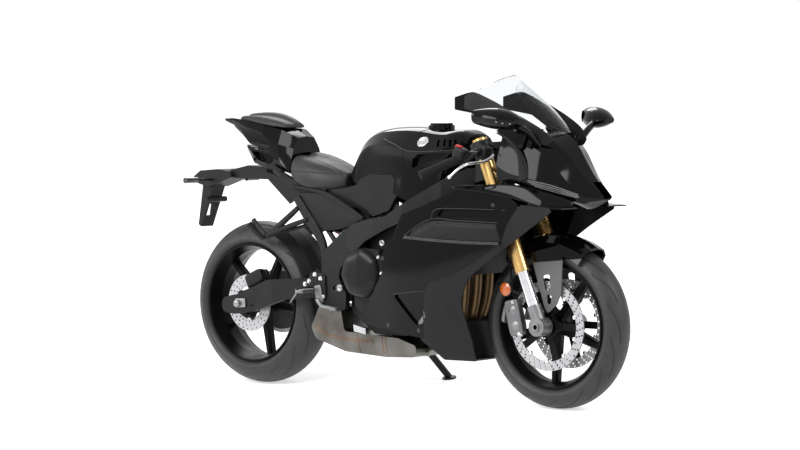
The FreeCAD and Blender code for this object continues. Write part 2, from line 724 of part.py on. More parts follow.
# Frame, subframe and swingarm
SPAR_SIDE_SHARES = [
    (0.02, 0.572), (-0.05, 0.557), (-0.10, 0.54), (-0.15, 0.50), (-0.195, 0.455), (-0.205, 0.42),
    (-0.205, 0.32), (-0.185, 0.275), (-0.15, 0.262), (-0.12, 0.27), (-0.12, 0.32), (-0.145, 0.37),
    (-0.14, 0.40), (-0.10, 0.445), (-0.05, 0.49), (0.02, 0.53), (0.12, 0.575), (0.22, 0.63),
    (0.268, 0.675), (0.268, 0.735), (0.21, 0.70), (0.12, 0.64),
]
SPAR_PLAN_SHARES = [
    (-0.22, 0.168), (-0.10, 0.168), (-0.02, 0.18), (0.08, 0.182), (0.18, 0.14), (0.268, 0.04),
    (0.268, 0.085), (0.19, 0.172), (0.08, 0.215), (-0.02, 0.213), (-0.12, 0.20), (-0.22, 0.20),
]


def spar():
    """A spar from the head to the swingarm's pivot, cut from its side and plan outlines."""
    side = side_prism(SPAR_SIDE_SHARES, 0, size("width") / 2, size("pivot_boss"))
    plan = plan_prism(SPAR_PLAN_SHARES, 0, size("height"))
    hole = Part.makeCylinder(size("pivot_radius") + size("fit"), size("width"),
                             PIVOT, SIDEWAYS)
    return side.common(plan).cut(hole)


left_spar = spar()
keep("frame_left", left_spar)
keep("frame_right", mirrored(left_spar))


def frame_head():
    """The head tube between the yokes and the gussets back to the spars."""
    low = steer(size("lower_yoke_top") + size("head_gap"))
    high = steer(size("yoke_top") - size("yoke_thickness") - size("head_gap"))
    tube = bar(low, high, size("head_tube"))
    bore = bar(steer(0), steer(size("leg_top")), size("stem") + size("fit"))
    gusset_side_shares = [(0.268, 0.68), (0.268, 0.735), (0.30, 0.75), (0.325, 0.70)]
    gusset = side_prism(gusset_side_shares, across(-0.085), across(0.085))
    gusset.translate(Vector(size("fit"), 0, 0))
    stay_shares = [(0.335, 0, 0.725), (0.395, 0, 0.745), (0.402, 0, 0.7897)]
    stay = sweep([at(point) for point in stay_shares], size("bar_tube") / 2)
    arms = bar(at((0.402, -0.235, 0.765)), at((0.402, 0.235, 0.765)), size("bar_tube") / 2.5)
    return fused([tube, gusset, stay, arms]).cut(bore)


keep("frame_head", frame_head())

ARM_SIDE_SHARES = [
    (-0.175, 0.30), (-0.175, 0.355), (-0.22, 0.362), (-0.30, 0.360), (-0.40, 0.350), (-0.46, 0.32),
    (-0.50, 0.30), (-0.565, 0.285), (-0.565, 0.238), (-0.52, 0.232), (-0.45, 0.245), (-0.35, 0.287),
    (-0.25, 0.298),
]
ARM_OUTER_SHARE = size("arm_side") / size("width")
ARM_PLAN_SHARES = [
    (-0.14, 0.07), (-0.21, 0.07), (-0.27, 0.11), (-0.33, 0.155), (-0.42, 0.167), (-0.57, 0.167),
    (-0.57, ARM_OUTER_SHARE), (-0.38, ARM_OUTER_SHARE), (-0.28, 0.185), (-0.225, 0.138), (-0.14, 0.138),
]


SPOOL_SHARES = (-0.455, 0, 0.264)


def swingarm():
    """Two deep arms, the pivot tube and the cross-member between them."""
    arm = side_prism(ARM_SIDE_SHARES, 0, size("width") / 2, size("pivot_boss"))
    arm = arm.common(plan_prism(ARM_PLAN_SHARES, 0, size("height")))
    tube = Part.makeCylinder(size("pivot_boss"), across(0.276),
                             PIVOT - Vector(0, across(0.138), 0), SIDEWAYS)
    cross_shares = [(-0.235, 0.305), (-0.267, 0.31), (-0.267, 0.352), (-0.235, 0.352)]
    cross = side_prism(cross_shares, across(-0.12), across(0.12))
    bore = Part.makeCylinder(size("pivot_radius") + size("fit"), size("width"),
                             PIVOT - Vector(0, size("width") / 2, 0), SIDEWAYS)
    axle_hole = Part.makeCylinder(size("rear_axle_radius") + size("fit"), size("width"),
                                  REAR_AXLE - Vector(0, size("width") / 2, 0), SIDEWAYS)
    tray_shares = [(-0.262, 0.31), (-0.262, 0.286), (-0.183, 0.286), (-0.183, 0.297), (-0.24, 0.297), (-0.24, 0.31)]
    tray = side_prism(tray_shares, -size("pivot_boss"), size("pivot_boss"))
    frame = fused([arm, mirrored(arm), tube, cross, tray]).cut(bore).cut(axle_hole)
    for sign in (1, -1):
        mouth = at(SPOOL_SHARES) + Vector(0, sign * (size("arm_side") + size("spool_boss")), 0)
        depth = mouth - Vector(0, sign * size("spool_length"), 0)
        frame = fused([frame, bar(mouth, depth, size("spool_radius"))])
        frame = frame.cut(bar(mouth + Vector(0, sign * size("overrun"), 0), depth, size("spool_bore")))
    return frame


keep("swingarm", swingarm())
pin = Part.makeCylinder(size("pivot_radius"), across(0.37), PIVOT - Vector(0, across(0.185), 0), SIDEWAYS)
keep("pivot_shaft", pin)


# The seat rail, its stay and the cross bars, and the bosses that bolt them to the frame
RAIL_SHARES = [(-0.075, 0.15, 0.545), (-0.42, 0.09, 0.705)]
STAY_SHARES = [(-0.165, 0.15, 0.465), (-0.315, 0.128, 0.66)]
CROSS_SHARES = [(-0.205, 0.146, 0.517), (-0.215, 0.128, 0.61), (-0.315, 0.12, 0.662)]
FRAME_INNER = 0.168


def rails(extra=0):
    """The left rail and stay with their cross bars, fatter by extra."""
    rail = bar(at(RAIL_SHARES[0]), at(RAIL_SHARES[1]), size("bar_tube") / 2 + extra)
    stay = bar(at(STAY_SHARES[0]), at(STAY_SHARES[1]), size("stay_radius") + extra)
    crosses = [bar(at((xs, ys, zs)), at((xs, -ys, zs)), size("cross_radius") + extra) for xs, ys, zs in CROSS_SHARES]
    return [rail, stay] + crosses


def subframe():
    """The seat rails and their stays, joined across the middle and bolted to the frame."""
    shapes = rails()
    face = FRAME_INNER * size("width") - size("fit")
    for xs, ys, zs in (RAIL_SHARES[0], STAY_SHARES[0]):
        start = at((xs, ys, zs)) - Vector(0, size("cross_radius"), 0)
        boss = bar(start, Vector(start.x, face, start.z), size("bar_tube") / 2 + size("seam"))
        shapes += [boss, mirrored(boss)]
    shapes += [mirrored(shapes[0]), mirrored(shapes[1])]
    return shapes[0].multiFuse(shapes[1:])


keep("subframe", subframe())

# How the machine leans on its stand, and the stand's folding axis
LEAN = math.radians(size("lean_angle"))


def lean_lift(crown):
    """How far a round tyre lifts its middle plane's foot as the machine leans."""
    return size(crown) * (1 - math.cos(LEAN))


PITCH = (lean_lift("rear_crown") - lean_lift("front_crown")) / size("wheelbase")
LEANED = Placement(Vector(0, 0, (lean_lift("rear_crown") + lean_lift("front_crown")) / 2),
                   Rotation(SIDEWAYS, math.degrees(PITCH)).multiply(Rotation(FORWARDS, -size("lean_angle"))))
FOOT = LEANED.inverse().multVec(
    LEANED.multVec(Vector(size("stand_foot_ahead"), size("stand_foot_side"), 0)).scale(1, 1, 0))
STAND_PIVOT = at((-0.056, 0.177, 0.20))
STAND_LEG = FOOT - STAND_PIVOT
STOWED_SHARES = (-1, 0.14, -0.10)
FOLD_AXIS = STAND_LEG.cross(Vector(*STOWED_SHARES)).normalize()
BOSS_HALF = size("stand_leg") + size("seam")


# Engine, exhaust and radiator
CASE_SIDE_SHARES = [
    (-0.13, 0.26), (-0.135, 0.33), (-0.12, 0.36), (-0.12, 0.40), (-0.09, 0.43), (-0.03, 0.48),
    (0.03, 0.50), (0.10, 0.47), (0.135, 0.36), (0.12, 0.24), (0.06, 0.195), (-0.05, 0.195),
]
CYLINDER_SIDE_SHARES = [
    (0.0, 0.44), (0.05, 0.60), (0.17, 0.63), (0.20, 0.55), (0.13, 0.42),
]


def engine():
    """The crankcases and the three cylinders, closed all round."""
    case = side_prism(CASE_SIDE_SHARES, across(-0.125), across(0.125), size("spool_length"))
    wide_shares = [(-0.085, 0.28), (-0.085, 0.40), (-0.05, 0.45), (0.04, 0.46), (0.11, 0.42), (0.11, 0.25), (0.04, 0.21)]
    wide = side_prism(wide_shares, across(-0.21), across(0.21), size("pivot_boss"))
    block = side_prism(CYLINDER_SIDE_SHARES, across(-0.13), across(0.13), size("spool_length"))
    lug_shares = [(-0.085, 0.18), (-0.03, 0.18), (-0.03, 0.25), (-0.085, 0.25)]
    lug = side_prism(lug_shares, across(0.10), STAND_PIVOT.y)
    lug = lug.cut(bar(STAND_PIVOT - FOLD_AXIS * (BOSS_HALF + size("fit")), STAND_PIVOT + FOLD_AXIS * size("pivot_x"),
                      size("pivot_x")))
    shaft = Part.makeCylinder(pitch_radius("front_teeth") - size("chain_height") / 2 - size("chain_clearance"),
                              size("chain_side") - size("chain_width"),
                              Vector(-size("drive_shaft_x"), size("chain_width"), size("drive_shaft_z")), SIDEWAYS)
    room = Part.Face(chain_loop(size("chain_height"))).extrude(Vector(0, size("width"), 0))
    room.translate(Vector(0, size("chain_side") - size("chain_width"), 0))
    mount_shares = [(-0.143, 0.405), (-0.147, 0.45), (-0.115, 0.47), (-0.06, 0.47), (-0.07, 0.40)]
    face = FRAME_INNER * size("width") - size("fit")
    mount = side_prism(mount_shares, -face, face, size("flange"))
    return fused([fused([case, wide, block, lug, mount]).cut(room), shaft])


keep("engine", engine())


def engine_cover(sign):
    """A cover on the side of the crankcase."""
    outline_shares = [
        (-0.095, 0.36), (-0.085, 0.43), (-0.04, 0.47), (0.01, 0.47), (0.045, 0.43), (0.05, 0.37),
        (0.02, 0.315), (-0.045, 0.30),
    ]
    inner = across(0.21) + size("fit")
    outer = across(0.27)
    return side_prism(outline_shares, sign * inner, sign * outer, size("pivot_boss"))


keep("clutch_cover", engine_cover(-1))
keep("generator_cover", engine_cover(1))


BOX_SIDE_SHARES = [
    (0.10, 0.132), (0.10, 0.168), (0.04, 0.188), (-0.145, 0.198), (-0.158, 0.272), (-0.232, 0.276),
    (-0.262, 0.205), (-0.245, 0.168), (-0.14, 0.134), (0.0, 0.126),
]


def exhaust():
    """Three header pipes into a collector and the silencer box under the engine."""
    headers = []
    for side_share in (-0.10, 0.0, 0.10):
        route_shares = [(0.175, side_share, 0.53), (0.245, side_share, 0.49), (0.235, side_share, 0.30),
                        (0.19, side_share / 2, 0.165), (0.06, side_share / 4, 0.15)]
        headers.append(sweep([at(point) for point in route_shares], size("header")))
    pipe = sweep([at((0.08, 0, 0.15)), at((0.0, 0, 0.148)), at((-0.09, -0.03, 0.16))], size("collector") * 0.8)
    box = side_prism(BOX_SIDE_SHARES, across(-0.155), across(0.07), size("spool_length"))
    return fused(headers + [pipe, box])


keep("exhaust", exhaust().cut(pieces["engine"].Shape))


def radiator():
    """A curved core between two tanks, behind the front wheel."""
    core_shares = [(0.268, 0.40), (0.29, 0.40), (0.315, 0.60), (0.293, 0.60)]
    core = side_prism(core_shares, across(-0.235), across(0.235))
    brackets = [bar(at((0.30, ys, 0.585)), at((0.17, ys, 0.602)), size("indicator") / 2) for ys in (0.05, -0.05)]
    return fused([core] + brackets)


keep("radiator", radiator().cut(pieces["engine"].Shape))

# Tank, seats and tail
TANK_STATIONS_SHARES = [
    (-0.156, [(0.0, 0.712), (0.03, 0.711), (0.055, 0.706), (0.072, 0.697), (0.074, 0.685), (0.07, 0.672),
              (0.06, 0.665), (0.0, 0.66)]),
    (-0.13, [(0.0, 0.768), (0.04, 0.764), (0.072, 0.752), (0.10, 0.727), (0.102, 0.70), (0.10, 0.68),
             (0.095, 0.66), (0.0, 0.655)]),
    (-0.098, [(0.0, 0.814), (0.05, 0.810), (0.085, 0.798), (0.122, 0.768), (0.12, 0.73), (0.115, 0.70),
              (0.11, 0.66), (0.0, 0.65)]),
    (-0.037, [(0.0, 0.843), (0.06, 0.840), (0.105, 0.829), (0.165, 0.793), (0.15, 0.745), (0.145, 0.70),
              (0.145, 0.655), (0.0, 0.645)]),
    (0.04, [(0.0, 0.850), (0.07, 0.848), (0.12, 0.838), (0.198, 0.788), (0.182, 0.745), (0.18, 0.70),
            (0.183, 0.64), (0.0, 0.645)]),
    (0.10, [(0.0, 0.848), (0.07, 0.846), (0.125, 0.836), (0.207, 0.779), (0.192, 0.74), (0.188, 0.69),
            (0.19, 0.615), (0.0, 0.645)]),
    (0.18, [(0.0, 0.841), (0.065, 0.839), (0.125, 0.827), (0.20, 0.779), (0.182, 0.74), (0.172, 0.70),
            (0.16, 0.665), (0.0, 0.665)]),
    (0.25, [(0.0, 0.829), (0.045, 0.827), (0.09, 0.815), (0.135, 0.785), (0.12, 0.755), (0.11, 0.73),
            (0.10, 0.70), (0.0, 0.70)]),
]
TANK_CREASES = (2, 3, 6)
# Slots in the shoulder, with the lean and the length of one, and the scoop under the crease
SLOT_PLACES_SHARES = [(0.172, 0.800), (0.190, 0.802), (0.205, 0.802), (0.219, 0.801)]
SLOT_SHARES = [(0, 0.011), (0.007, 0.011), (0.016, -0.011), (0.009, -0.011)]
SCOOP_SHARES = [(0.100, 0.722), (0.107, 0.752), (0.128, 0.767), (0.222, 0.772), (0.222, 0.760), (0.155, 0.742)]


def tank_body():
    """The tank and its front cover: a crown, a shoulder facet each side down to a crease,
    the knee hollows under it, slots through the shoulder and a scoop."""
    body = creased_hull(TANK_STATIONS_SHARES, TANK_CREASES)
    cuts = [side_prism(SCOOP_SHARES, across(-0.168), across(-0.25), size("flange") / 2)]
    for x_share, z_share in SLOT_PLACES_SHARES:
        outline = [(x_share + xs, z_share + zs) for xs, zs in SLOT_SHARES]
        cuts.append(side_prism(outline, across(-0.125), across(-0.25), size("seam")))
    for cut in cuts:
        body = body.cut(cut).cut(mirrored(cut))
    return body


tank = tank_body()
for half_frame in (left_spar, mirrored(left_spar)):
    tank = tank.cut(half_frame.translated(Vector(0, 0, size("fit"))))
CAP_CENTRE = at((0.125, 0, 0.855))
cap_ring = Part.makeCylinder(size("cap_radius") + size("flange"), size("cap_ring"),
                             CAP_CENTRE - Vector(0, 0, size("cap_ring")), UPWARDS)
keep("fuel_tank", tank.fuse(cap_ring))
CAP_HINGE = CAP_CENTRE + Vector(size("cap_radius"), 0, size("cap_hinge") + 2 * size("fit"))


def fuel_cap():
    """The cap's disc with its hinge barrel at the front."""
    disc = Part.makeCylinder(size("cap_radius"), size("cap_height"), CAP_CENTRE + Vector(0, 0, size("fit")), UPWARDS)
    half = SIDEWAYS * size("cap_height")
    return fused([disc, bar(CAP_HINGE - half, CAP_HINGE + half, size("cap_hinge"))])


keep("fuel_cap", fuel_cap())

SEAT_STATIONS_SHARES = [
    (-0.165, [(0.0, 0.70), (0.07, 0.695), (0.085, 0.68), (0.08, 0.655), (0.0, 0.645)]),
    (-0.21, [(0.0, 0.722), (0.10, 0.712), (0.145, 0.685), (0.14, 0.645), (0.0, 0.64)]),
    (-0.28, [(0.0, 0.745), (0.13, 0.736), (0.178, 0.705), (0.17, 0.655), (0.0, 0.655)]),
    (-0.335, [(0.0, 0.756), (0.11, 0.750), (0.15, 0.724), (0.15, 0.69), (0.0, 0.69)]),
]


def clear_rails(shape):
    """A shape cut clear of the subframe's rails."""
    room = rails(size("fit"))
    for rail in room + [mirrored(room[0]), mirrored(room[1])]:
        shape = shape.cut(rail)
    return shape


seat = clear_rails(hull(SEAT_STATIONS_SHARES).cut(tank))
keep("rider_seat", seat)

PILLION_STATIONS_SHARES = [
    (-0.383, [(0.0, 0.852), (0.06, 0.850), (0.078, 0.845), (0.0, 0.84)]),
    (-0.43, [(0.0, 0.873), (0.09, 0.866), (0.108, 0.855), (0.0, 0.85)]),
    (-0.51, [(0.0, 0.882), (0.08, 0.877), (0.094, 0.868), (0.0, 0.862)]),
    (-0.56, [(0.0, 0.879), (0.055, 0.876), (0.065, 0.87), (0.0, 0.866)]),
]
pillion = hull(PILLION_STATIONS_SHARES)
keep("pillion_seat", pillion)

TAIL_STATIONS_SHARES = [
    (-0.345, [(0.0, 0.815), (0.065, 0.810), (0.105, 0.775), (0.142, 0.70), (0.0, 0.69)]),
    (-0.39, [(0.0, 0.842), (0.100, 0.836), (0.130, 0.79), (0.13, 0.735), (0.0, 0.70)]),
    (-0.45, [(0.0, 0.854), (0.110, 0.850), (0.128, 0.824), (0.112, 0.772), (0.0, 0.768)]),
    (-0.51, [(0.0, 0.862), (0.102, 0.864), (0.113, 0.842), (0.095, 0.79), (0.0, 0.786)]),
    (-0.55, [(0.0, 0.866), (0.093, 0.870), (0.098, 0.858), (0.082, 0.828), (0.0, 0.824)]),
    (-0.58, [(0.0, 0.868), (0.084, 0.873), (0.086, 0.868), (0.076, 0.852), (0.0, 0.849)]),
    (-0.612, [(0.0, 0.867), (0.074, 0.871), (0.074, 0.868), (0.067, 0.863), (0.0, 0.861)]),
]
LIP_STATIONS_SHARES = [
    (-0.37, [(0.0, 0.755), (0.11, 0.752), (0.128, 0.735), (0.112, 0.70), (0.0, 0.68)]),
    (-0.45, [(0.0, 0.762), (0.10, 0.762), (0.114, 0.742), (0.095, 0.71), (0.0, 0.70)]),
    (-0.50, [(0.0, 0.773), (0.085, 0.774), (0.096, 0.758), (0.08, 0.727), (0.0, 0.718)]),
    (-0.53, [(0.0, 0.785), (0.07, 0.786), (0.074, 0.782), (0.068, 0.772), (0.0, 0.768)]),
]
LIP_MOUTH_SHARES = [(-0.507, 0.767), (-0.418, 0.757), (-0.412, 0.735), (-0.431, 0.724), (-0.478, 0.736)]
TAIL_WEB_SHARES = [(-0.38, 0.70), (-0.38, 0.80), (-0.50, 0.80), (-0.49, 0.74), (-0.45, 0.71)]
BLADE_POCKET_SHARES = [(-0.575, 0.858), (-0.46, 0.822), (-0.425, 0.778), (-0.515, 0.796)]
# The round hollow in the seat's hump with the bolt in it
HUMP_SHARES = (-0.335, 0.121, 0.822)


def tail_body():
    """The tail: a blade out to its tip, a lip under it with a mouth each side, and the web
    that joins them."""
    blade = hull(TAIL_STATIONS_SHARES, smooth=False, ruled=True)
    pocket = side_prism(BLADE_POCKET_SHARES, across(-0.09), across(-0.20), size("seam"))
    lip = hull(LIP_STATIONS_SHARES, smooth=False, ruled=True)
    mouth = side_prism(LIP_MOUTH_SHARES, across(-0.055), across(-0.20), size("seam"))
    web = side_prism(TAIL_WEB_SHARES, across(-0.06), across(0.06))
    body = fused([blade.cut(pocket).cut(mirrored(pocket)), lip.cut(mouth).cut(mirrored(mouth)), web])
    return clear_rails(body.cut(pillion).cut(seat))


tail = tail_body()
keep("tail_cowl", tail)


HANGER_ARM_SHARES = [(-0.47, 0.672), (-0.47, 0.712), (-0.54, 0.717), (-0.62, 0.697), (-0.62, 0.675)]
HANGER_HEAD_SHARES = [
    (-0.585, 0.678), (-0.60, 0.697), (-0.64, 0.703), (-0.705, 0.697), (-0.732, 0.676), (-0.717, 0.655),
    (-0.675, 0.642),
]
BRACKET_SHARES = [(-0.665, 0.66), (-0.708, 0.665), (-0.728, 0.515), (-0.718, 0.508)]
BRACKET_WINDOW_SHARES = [(-0.63, 0.585), (-0.77, 0.585), (-0.77, 0.545), (-0.63, 0.545)]


INDICATOR_SHARES = (-0.66, 0.20, 0.668)
INDICATOR_END_SHARES = (-0.66, 0.295, 0.668)


def plate_hanger():
    """The arm behind the tail that carries the number plate and the indicators."""
    arm = side_prism(HANGER_ARM_SHARES, across(-0.045), across(0.045), size("flange"))
    head = side_prism(HANGER_HEAD_SHARES, across(-0.08), across(0.08), size("flange"))
    bracket = side_prism(BRACKET_SHARES, across(-0.048), across(0.048))
    window = side_prism(BRACKET_WINDOW_SHARES, across(-0.033), across(0.033))
    light = bar(at((-0.685, 0.08, 0.60)), at((-0.685, -0.08, 0.60)), size("indicator"))
    end = at(INDICATOR_SHARES)
    stalk = bar(end, Vector(end.x, -end.y, end.z), size("indicator") / 2)
    return fused([arm, head, bracket.cut(window), light, stalk])


hanger = plate_hanger()
keep("plate_hanger", hanger.cut(tail))
keep("rear_indicators", both_sides(
    bar(at(INDICATOR_SHARES) + Vector(0, size("fit"), 0), at(INDICATOR_END_SHARES), size("indicator"))))
TAIL_LAMP_SHARES = [(-0.525, 0.792), (-0.585, 0.845), (-0.575, 0.860), (-0.51, 0.802)]
keep("tail_lamp", side_prism(TAIL_LAMP_SHARES, across(-0.055), across(0.055)).cut(tail))

# Fairing
# Distance of the fairing's skin from the middle plane, over the wheelbase and the height
SKIN_COLUMNS_SHARES = [-0.08, 0.07, 0.20, 0.32, 0.45, 0.62]
SKIN_ROWS_SHARES = {
    0.10: [0.16, 0.16, 0.13, 0.09, 0.06, 0.05],
    0.25: [0.26, 0.28, 0.27, 0.22, 0.17, 0.12],
    0.38: [0.28, 0.32, 0.32, 0.28, 0.22, 0.16],
    0.50: [0.28, 0.33, 0.335, 0.31, 0.265, 0.235],
    0.60: [0.28, 0.315, 0.32, 0.30, 0.275, 0.28],
    0.72: [0.25, 0.29, 0.295, 0.28, 0.25, 0.22],
}


def skin():
    """The outer face of the fairing's right side."""
    rows = [[at((xs, -ys, zs)) for xs, ys in zip(SKIN_COLUMNS_SHARES, row)]
            for zs, row in SKIN_ROWS_SHARES.items()]
    return surface(rows)


SIDE_PANEL_SHARES = [
    (0.132, 0.582), (0.09, 0.502), (0.053, 0.452), (0.056, 0.402), (-0.05, 0.238), (0.165, 0.20),
    (0.19, 0.347), (0.209, 0.377), (0.285, 0.406), (0.35, 0.45), (0.423, 0.504), (0.441, 0.559),
    (0.475, 0.619), (0.431, 0.654), (0.302, 0.67),
]
STRIP_SHARES = [
    (0.42, 0.51), (0.34, 0.45), (0.27, 0.41), (0.20, 0.38), (0.18, 0.345), (0.155, 0.21),
    (0.155, 0.196), (0.188, 0.159), (0.205, 0.134), (0.297, 0.134), (0.303, 0.20), (0.298, 0.246), (0.292, 0.309),
    (0.297, 0.339), (0.32, 0.39), (0.349, 0.42), (0.446, 0.502), (0.50, 0.545), (0.591, 0.614),
    (0.482, 0.622), (0.43, 0.56),
]
STANDOFF_SHARES = [(0.09, 0.30), (0.16, 0.56)]
SHOULDER_SHARES = [(0.300, 0.657), (0.122, 0.583), (0.094, 0.500), (0.228, 0.573), (0.238, 0.605)]
NAME_SHARES = [(0.230, 0.562), (0.420, 0.556), (0.430, 0.528), (0.405, 0.503), (0.150, 0.512)]
VENT_SHARES = [(0.246, 0.602), (0.234, 0.580), (0.415, 0.574), (0.434, 0.606)]
HOLLOW_SHARES = [(0.088, 0.333), (0.180, 0.345), (0.180, 0.250), (0.150, 0.243)]
right_skin = skin().extrude(Vector(0, size("panel"), 0))
beyond_skin = skin().extrude(Vector(0, -size("width") / 2, 0))


def panel_room():
    """The side panel's outline with its seam, through the machine's right half."""
    corners = [at((xs, 0, zs)) - Vector(0, size("width") / 2, 0) for xs, zs in SIDE_PANEL_SHARES]
    outline = Part.Face(rounded_wire(corners, size("overrun"))).makeOffset2D(size("fit"))
    return outline.extrude(Vector(0, size("width") / 2, 0))


def raised(outline_shares):
    """A layer that stands proud of the side panel within an outline."""
    layer = skin().extrude(Vector(0, size("panel") / 2 + size("seam"), 0)).translated(Vector(0, -size("panel") / 2, 0))
    return layer.common(side_prism(outline_shares, -size("width") / 2, 0, size("overrun")))


def pocket(outline_shares):
    """A pan let into the side panel within an outline, and the room inside it."""
    corners = [at((xs, 0, zs)) - Vector(0, size("width") / 2, 0) for xs, zs in outline_shares]
    mouth = Part.Face(rounded_wire(corners, size("flange")))
    around = mouth.makeOffset2D(size("panel")).extrude(Vector(0, size("width") / 2, 0))
    depth = size("pocket")
    pan = skin().extrude(Vector(0, depth, 0)).translated(Vector(0, size("seam"), 0)).common(around)
    hollow = skin().extrude(Vector(0, depth - size("seam"), 0)).translated(Vector(0, -size("seam"), 0))
    return pan, hollow.common(mouth.extrude(Vector(0, size("width") / 2, 0)))


def side_panel():
    """The right side panel: two raised layers, two pans let into it, and the standoffs that
    bolt it to the engine."""
    panel = right_skin.common(side_prism(SIDE_PANEL_SHARES, -size("width") / 2, 0, size("overrun")))
    for outline_shares in (SHOULDER_SHARES, NAME_SHARES):
        panel = panel.fuse(raised(outline_shares))
    for outline_shares in (VENT_SHARES, HOLLOW_SHARES):
        pan, hollow = pocket(outline_shares)
        panel = panel.fuse(pan).cut(hollow)
    seat_shape = pieces["engine"].Shape.translated(Vector(0, -size("fit"), 0))
    for xs, zs in STANDOFF_SHARES:
        outer = at((xs, -0.5, zs))
        boss = bar(outer, at((xs, -0.1, zs)), size("stay_radius"))
        boss = boss.cut(seat_shape).cut(beyond_skin)
        boss = sorted(boss.Solids, key=lambda solid: solid.CenterOfMass.y)[0]
        panel = panel.fuse(boss)
    return panel


right_panel = side_panel()
strip = right_skin.common(side_prism(STRIP_SHARES, -size("width") / 2, 0, size("overrun"))).cut(panel_room()).cut(right_panel)
strip = sorted(strip.Solids, key=lambda solid: solid.Volume)[-1]
keep("side_fairing_right", right_panel)
keep("side_fairing_left", mirrored(right_panel))
keep("fairing_strip_right", strip)
keep("fairing_strip_left", mirrored(strip))

belly = side_prism([(0.205, 0.135), (0.293, 0.135), (0.297, 0.141), (0.203, 0.141)],
                   across(-0.16), across(0.16))
belly = belly.cut(strip).cut(mirrored(strip))
belly = sorted(belly.Solids, key=lambda solid: abs(solid.CenterOfMass.y))[0]
keep("belly_pan", belly)

NOSE_STATIONS_SHARES = [
    (0.40, [(0.0, 0.885), (0.12, 0.875), (0.20, 0.83), (0.255, 0.74), (0.24, 0.69), (0.0, 0.685)]),
    (0.475, [(0.0, 0.86), (0.13, 0.845), (0.199, 0.805), (0.238, 0.705), (0.222, 0.675), (0.0, 0.665)]),
    (0.52, [(0.0, 0.837), (0.11, 0.815), (0.183, 0.772), (0.216, 0.69), (0.20, 0.655), (0.0, 0.64)]),
    (0.56, [(0.0, 0.800), (0.09, 0.772), (0.158, 0.722), (0.178, 0.668), (0.16, 0.64), (0.0, 0.62)]),
    (0.595, [(0.0, 0.737), (0.065, 0.715), (0.118, 0.668), (0.126, 0.652), (0.112, 0.632), (0.0, 0.608)]),
    (0.625, [(0.0, 0.690), (0.045, 0.678), (0.078, 0.655), (0.080, 0.644), (0.070, 0.632), (0.0, 0.618)]),
    (0.65, [(0.0, 0.655), (0.028, 0.652), (0.040, 0.648), (0.040, 0.643), (0.030, 0.638), (0.0, 0.634)]),
]
NOSE_CORE_END = -2
LENS_SHARES = [
    (0.470, 0.702), (0.54, 0.688), (0.585, 0.668), (0.612, 0.652), (0.612, 0.640), (0.57, 0.645),
    (0.505, 0.668),
]
MOUTH_SHARES = [(0.590, 0.668), (0.605, 0.690), (0.70, 0.690), (0.70, 0.640), (0.590, 0.640)]
TRIM_SHARES = [
    (0.252, 0.943), (0.296, 0.957), (0.331, 0.930), (0.43, 0.872), (0.500, 0.815), (0.492, 0.790),
    (0.466, 0.800), (0.40, 0.846), (0.345, 0.888), (0.252, 0.905),
]
SCREEN_ROWS_SHARES = [
    [(0.487, 0.185, 0.818), (0.515, 0.09, 0.832), (0.524, 0.0, 0.836), (0.515, -0.09, 0.832), (0.487, -0.185, 0.818)],
    [(0.43, 0.205, 0.875), (0.469, 0.10, 0.885), (0.482, 0.0, 0.890), (0.469, -0.10, 0.885), (0.43, -0.205, 0.875)],
    [(0.37, 0.205, 0.922), (0.417, 0.10, 0.936), (0.430, 0.0, 0.943), (0.417, -0.10, 0.936), (0.37, -0.205, 0.922)],
    [(0.308, 0.195, 0.957), (0.338, 0.10, 0.990), (0.364, 0.0, 1.009), (0.338, -0.10, 0.990), (0.308, -0.195, 0.957)],
]
screen_face = surface([[at(point) for point in row] for row in SCREEN_ROWS_SHARES])
screen = screen_face.extrude(Vector(-size("screen_thickness"), 0, -size("screen_thickness")))
keep("screen", screen)

cockpit_opening = plan_prism([(0.38, 0.165), (0.38, -0.165), (0.49, -0.15), (0.51, 0.0), (0.49, 0.15)],
                             0.78 * size("height"), size("height"))
nose_solid = hull(NOSE_STATIONS_SHARES, smooth=False)
yoke_reach = math.hypot(LEG_AHEAD, LEG_SIDE) + size("outer_tube")
fork_room = bar(steer(size("gold_end")), steer(size("yoke_top")), yoke_reach)
nose_core = hull(NOSE_STATIONS_SHARES[:NOSE_CORE_END], smooth=False, inset=size("nose_wall"), ruled=True)


def lens_room(gap):
    """The left lamp's outline through the nose's wall, smaller by a gap."""
    corners = [at((xs, 0, zs)) + Vector(0, across(0.05), 0) for xs, zs in LENS_SHARES]
    outline = Part.Face(Part.makePolygon(corners + corners[:1]))
    if gap:
        outline = outline.makeOffset2D(-gap)
    return outline.extrude(Vector(0, size("width") / 2, 0))


def nose():
    """The nose shell with its lamps' windows and its mouth, and a trim up each side of the screen."""
    shell = nose_solid.cut(nose_core).cut(cockpit_opening).cut(fork_room)
    mouth = side_prism(MOUTH_SHARES, across(-0.035), across(0.035))
    shell = shell.cut(mouth).cut(lens_room(0)).cut(mirrored(lens_room(0)))
    trim = side_prism(TRIM_SHARES, across(0.192), across(0.213), size("panel")).cut(nose_core)
    shell = fused([shell, trim, mirrored(trim)])
    return shell.cut(screen).cut(pieces["frame_head"].Shape)


keep("nose_cowl", nose())
lamp_wall = nose_solid.cut(nose_core).cut(fork_room)
lamp = lamp_wall.common(lens_room(size("fit")))
keep("position_lamps", both_sides(sorted(lamp.Solids, key=lambda solid: solid.Volume)[-1]))
lens = Part.makeCylinder(size("lens"), size("trail") * 2, at((0.545, 0, 0.665)), FORWARDS)
keep("headlamp", lens.common(nose_core).cut(pieces["nose_cowl"].Shape))
instrument = side_prism([(0.39, 0.79), (0.40, 0.845), (0.41, 0.845), (0.405, 0.79)],
                        across(-0.12), across(0.12))
keep("instrument", instrument.cut(pieces["frame_head"].Shape))


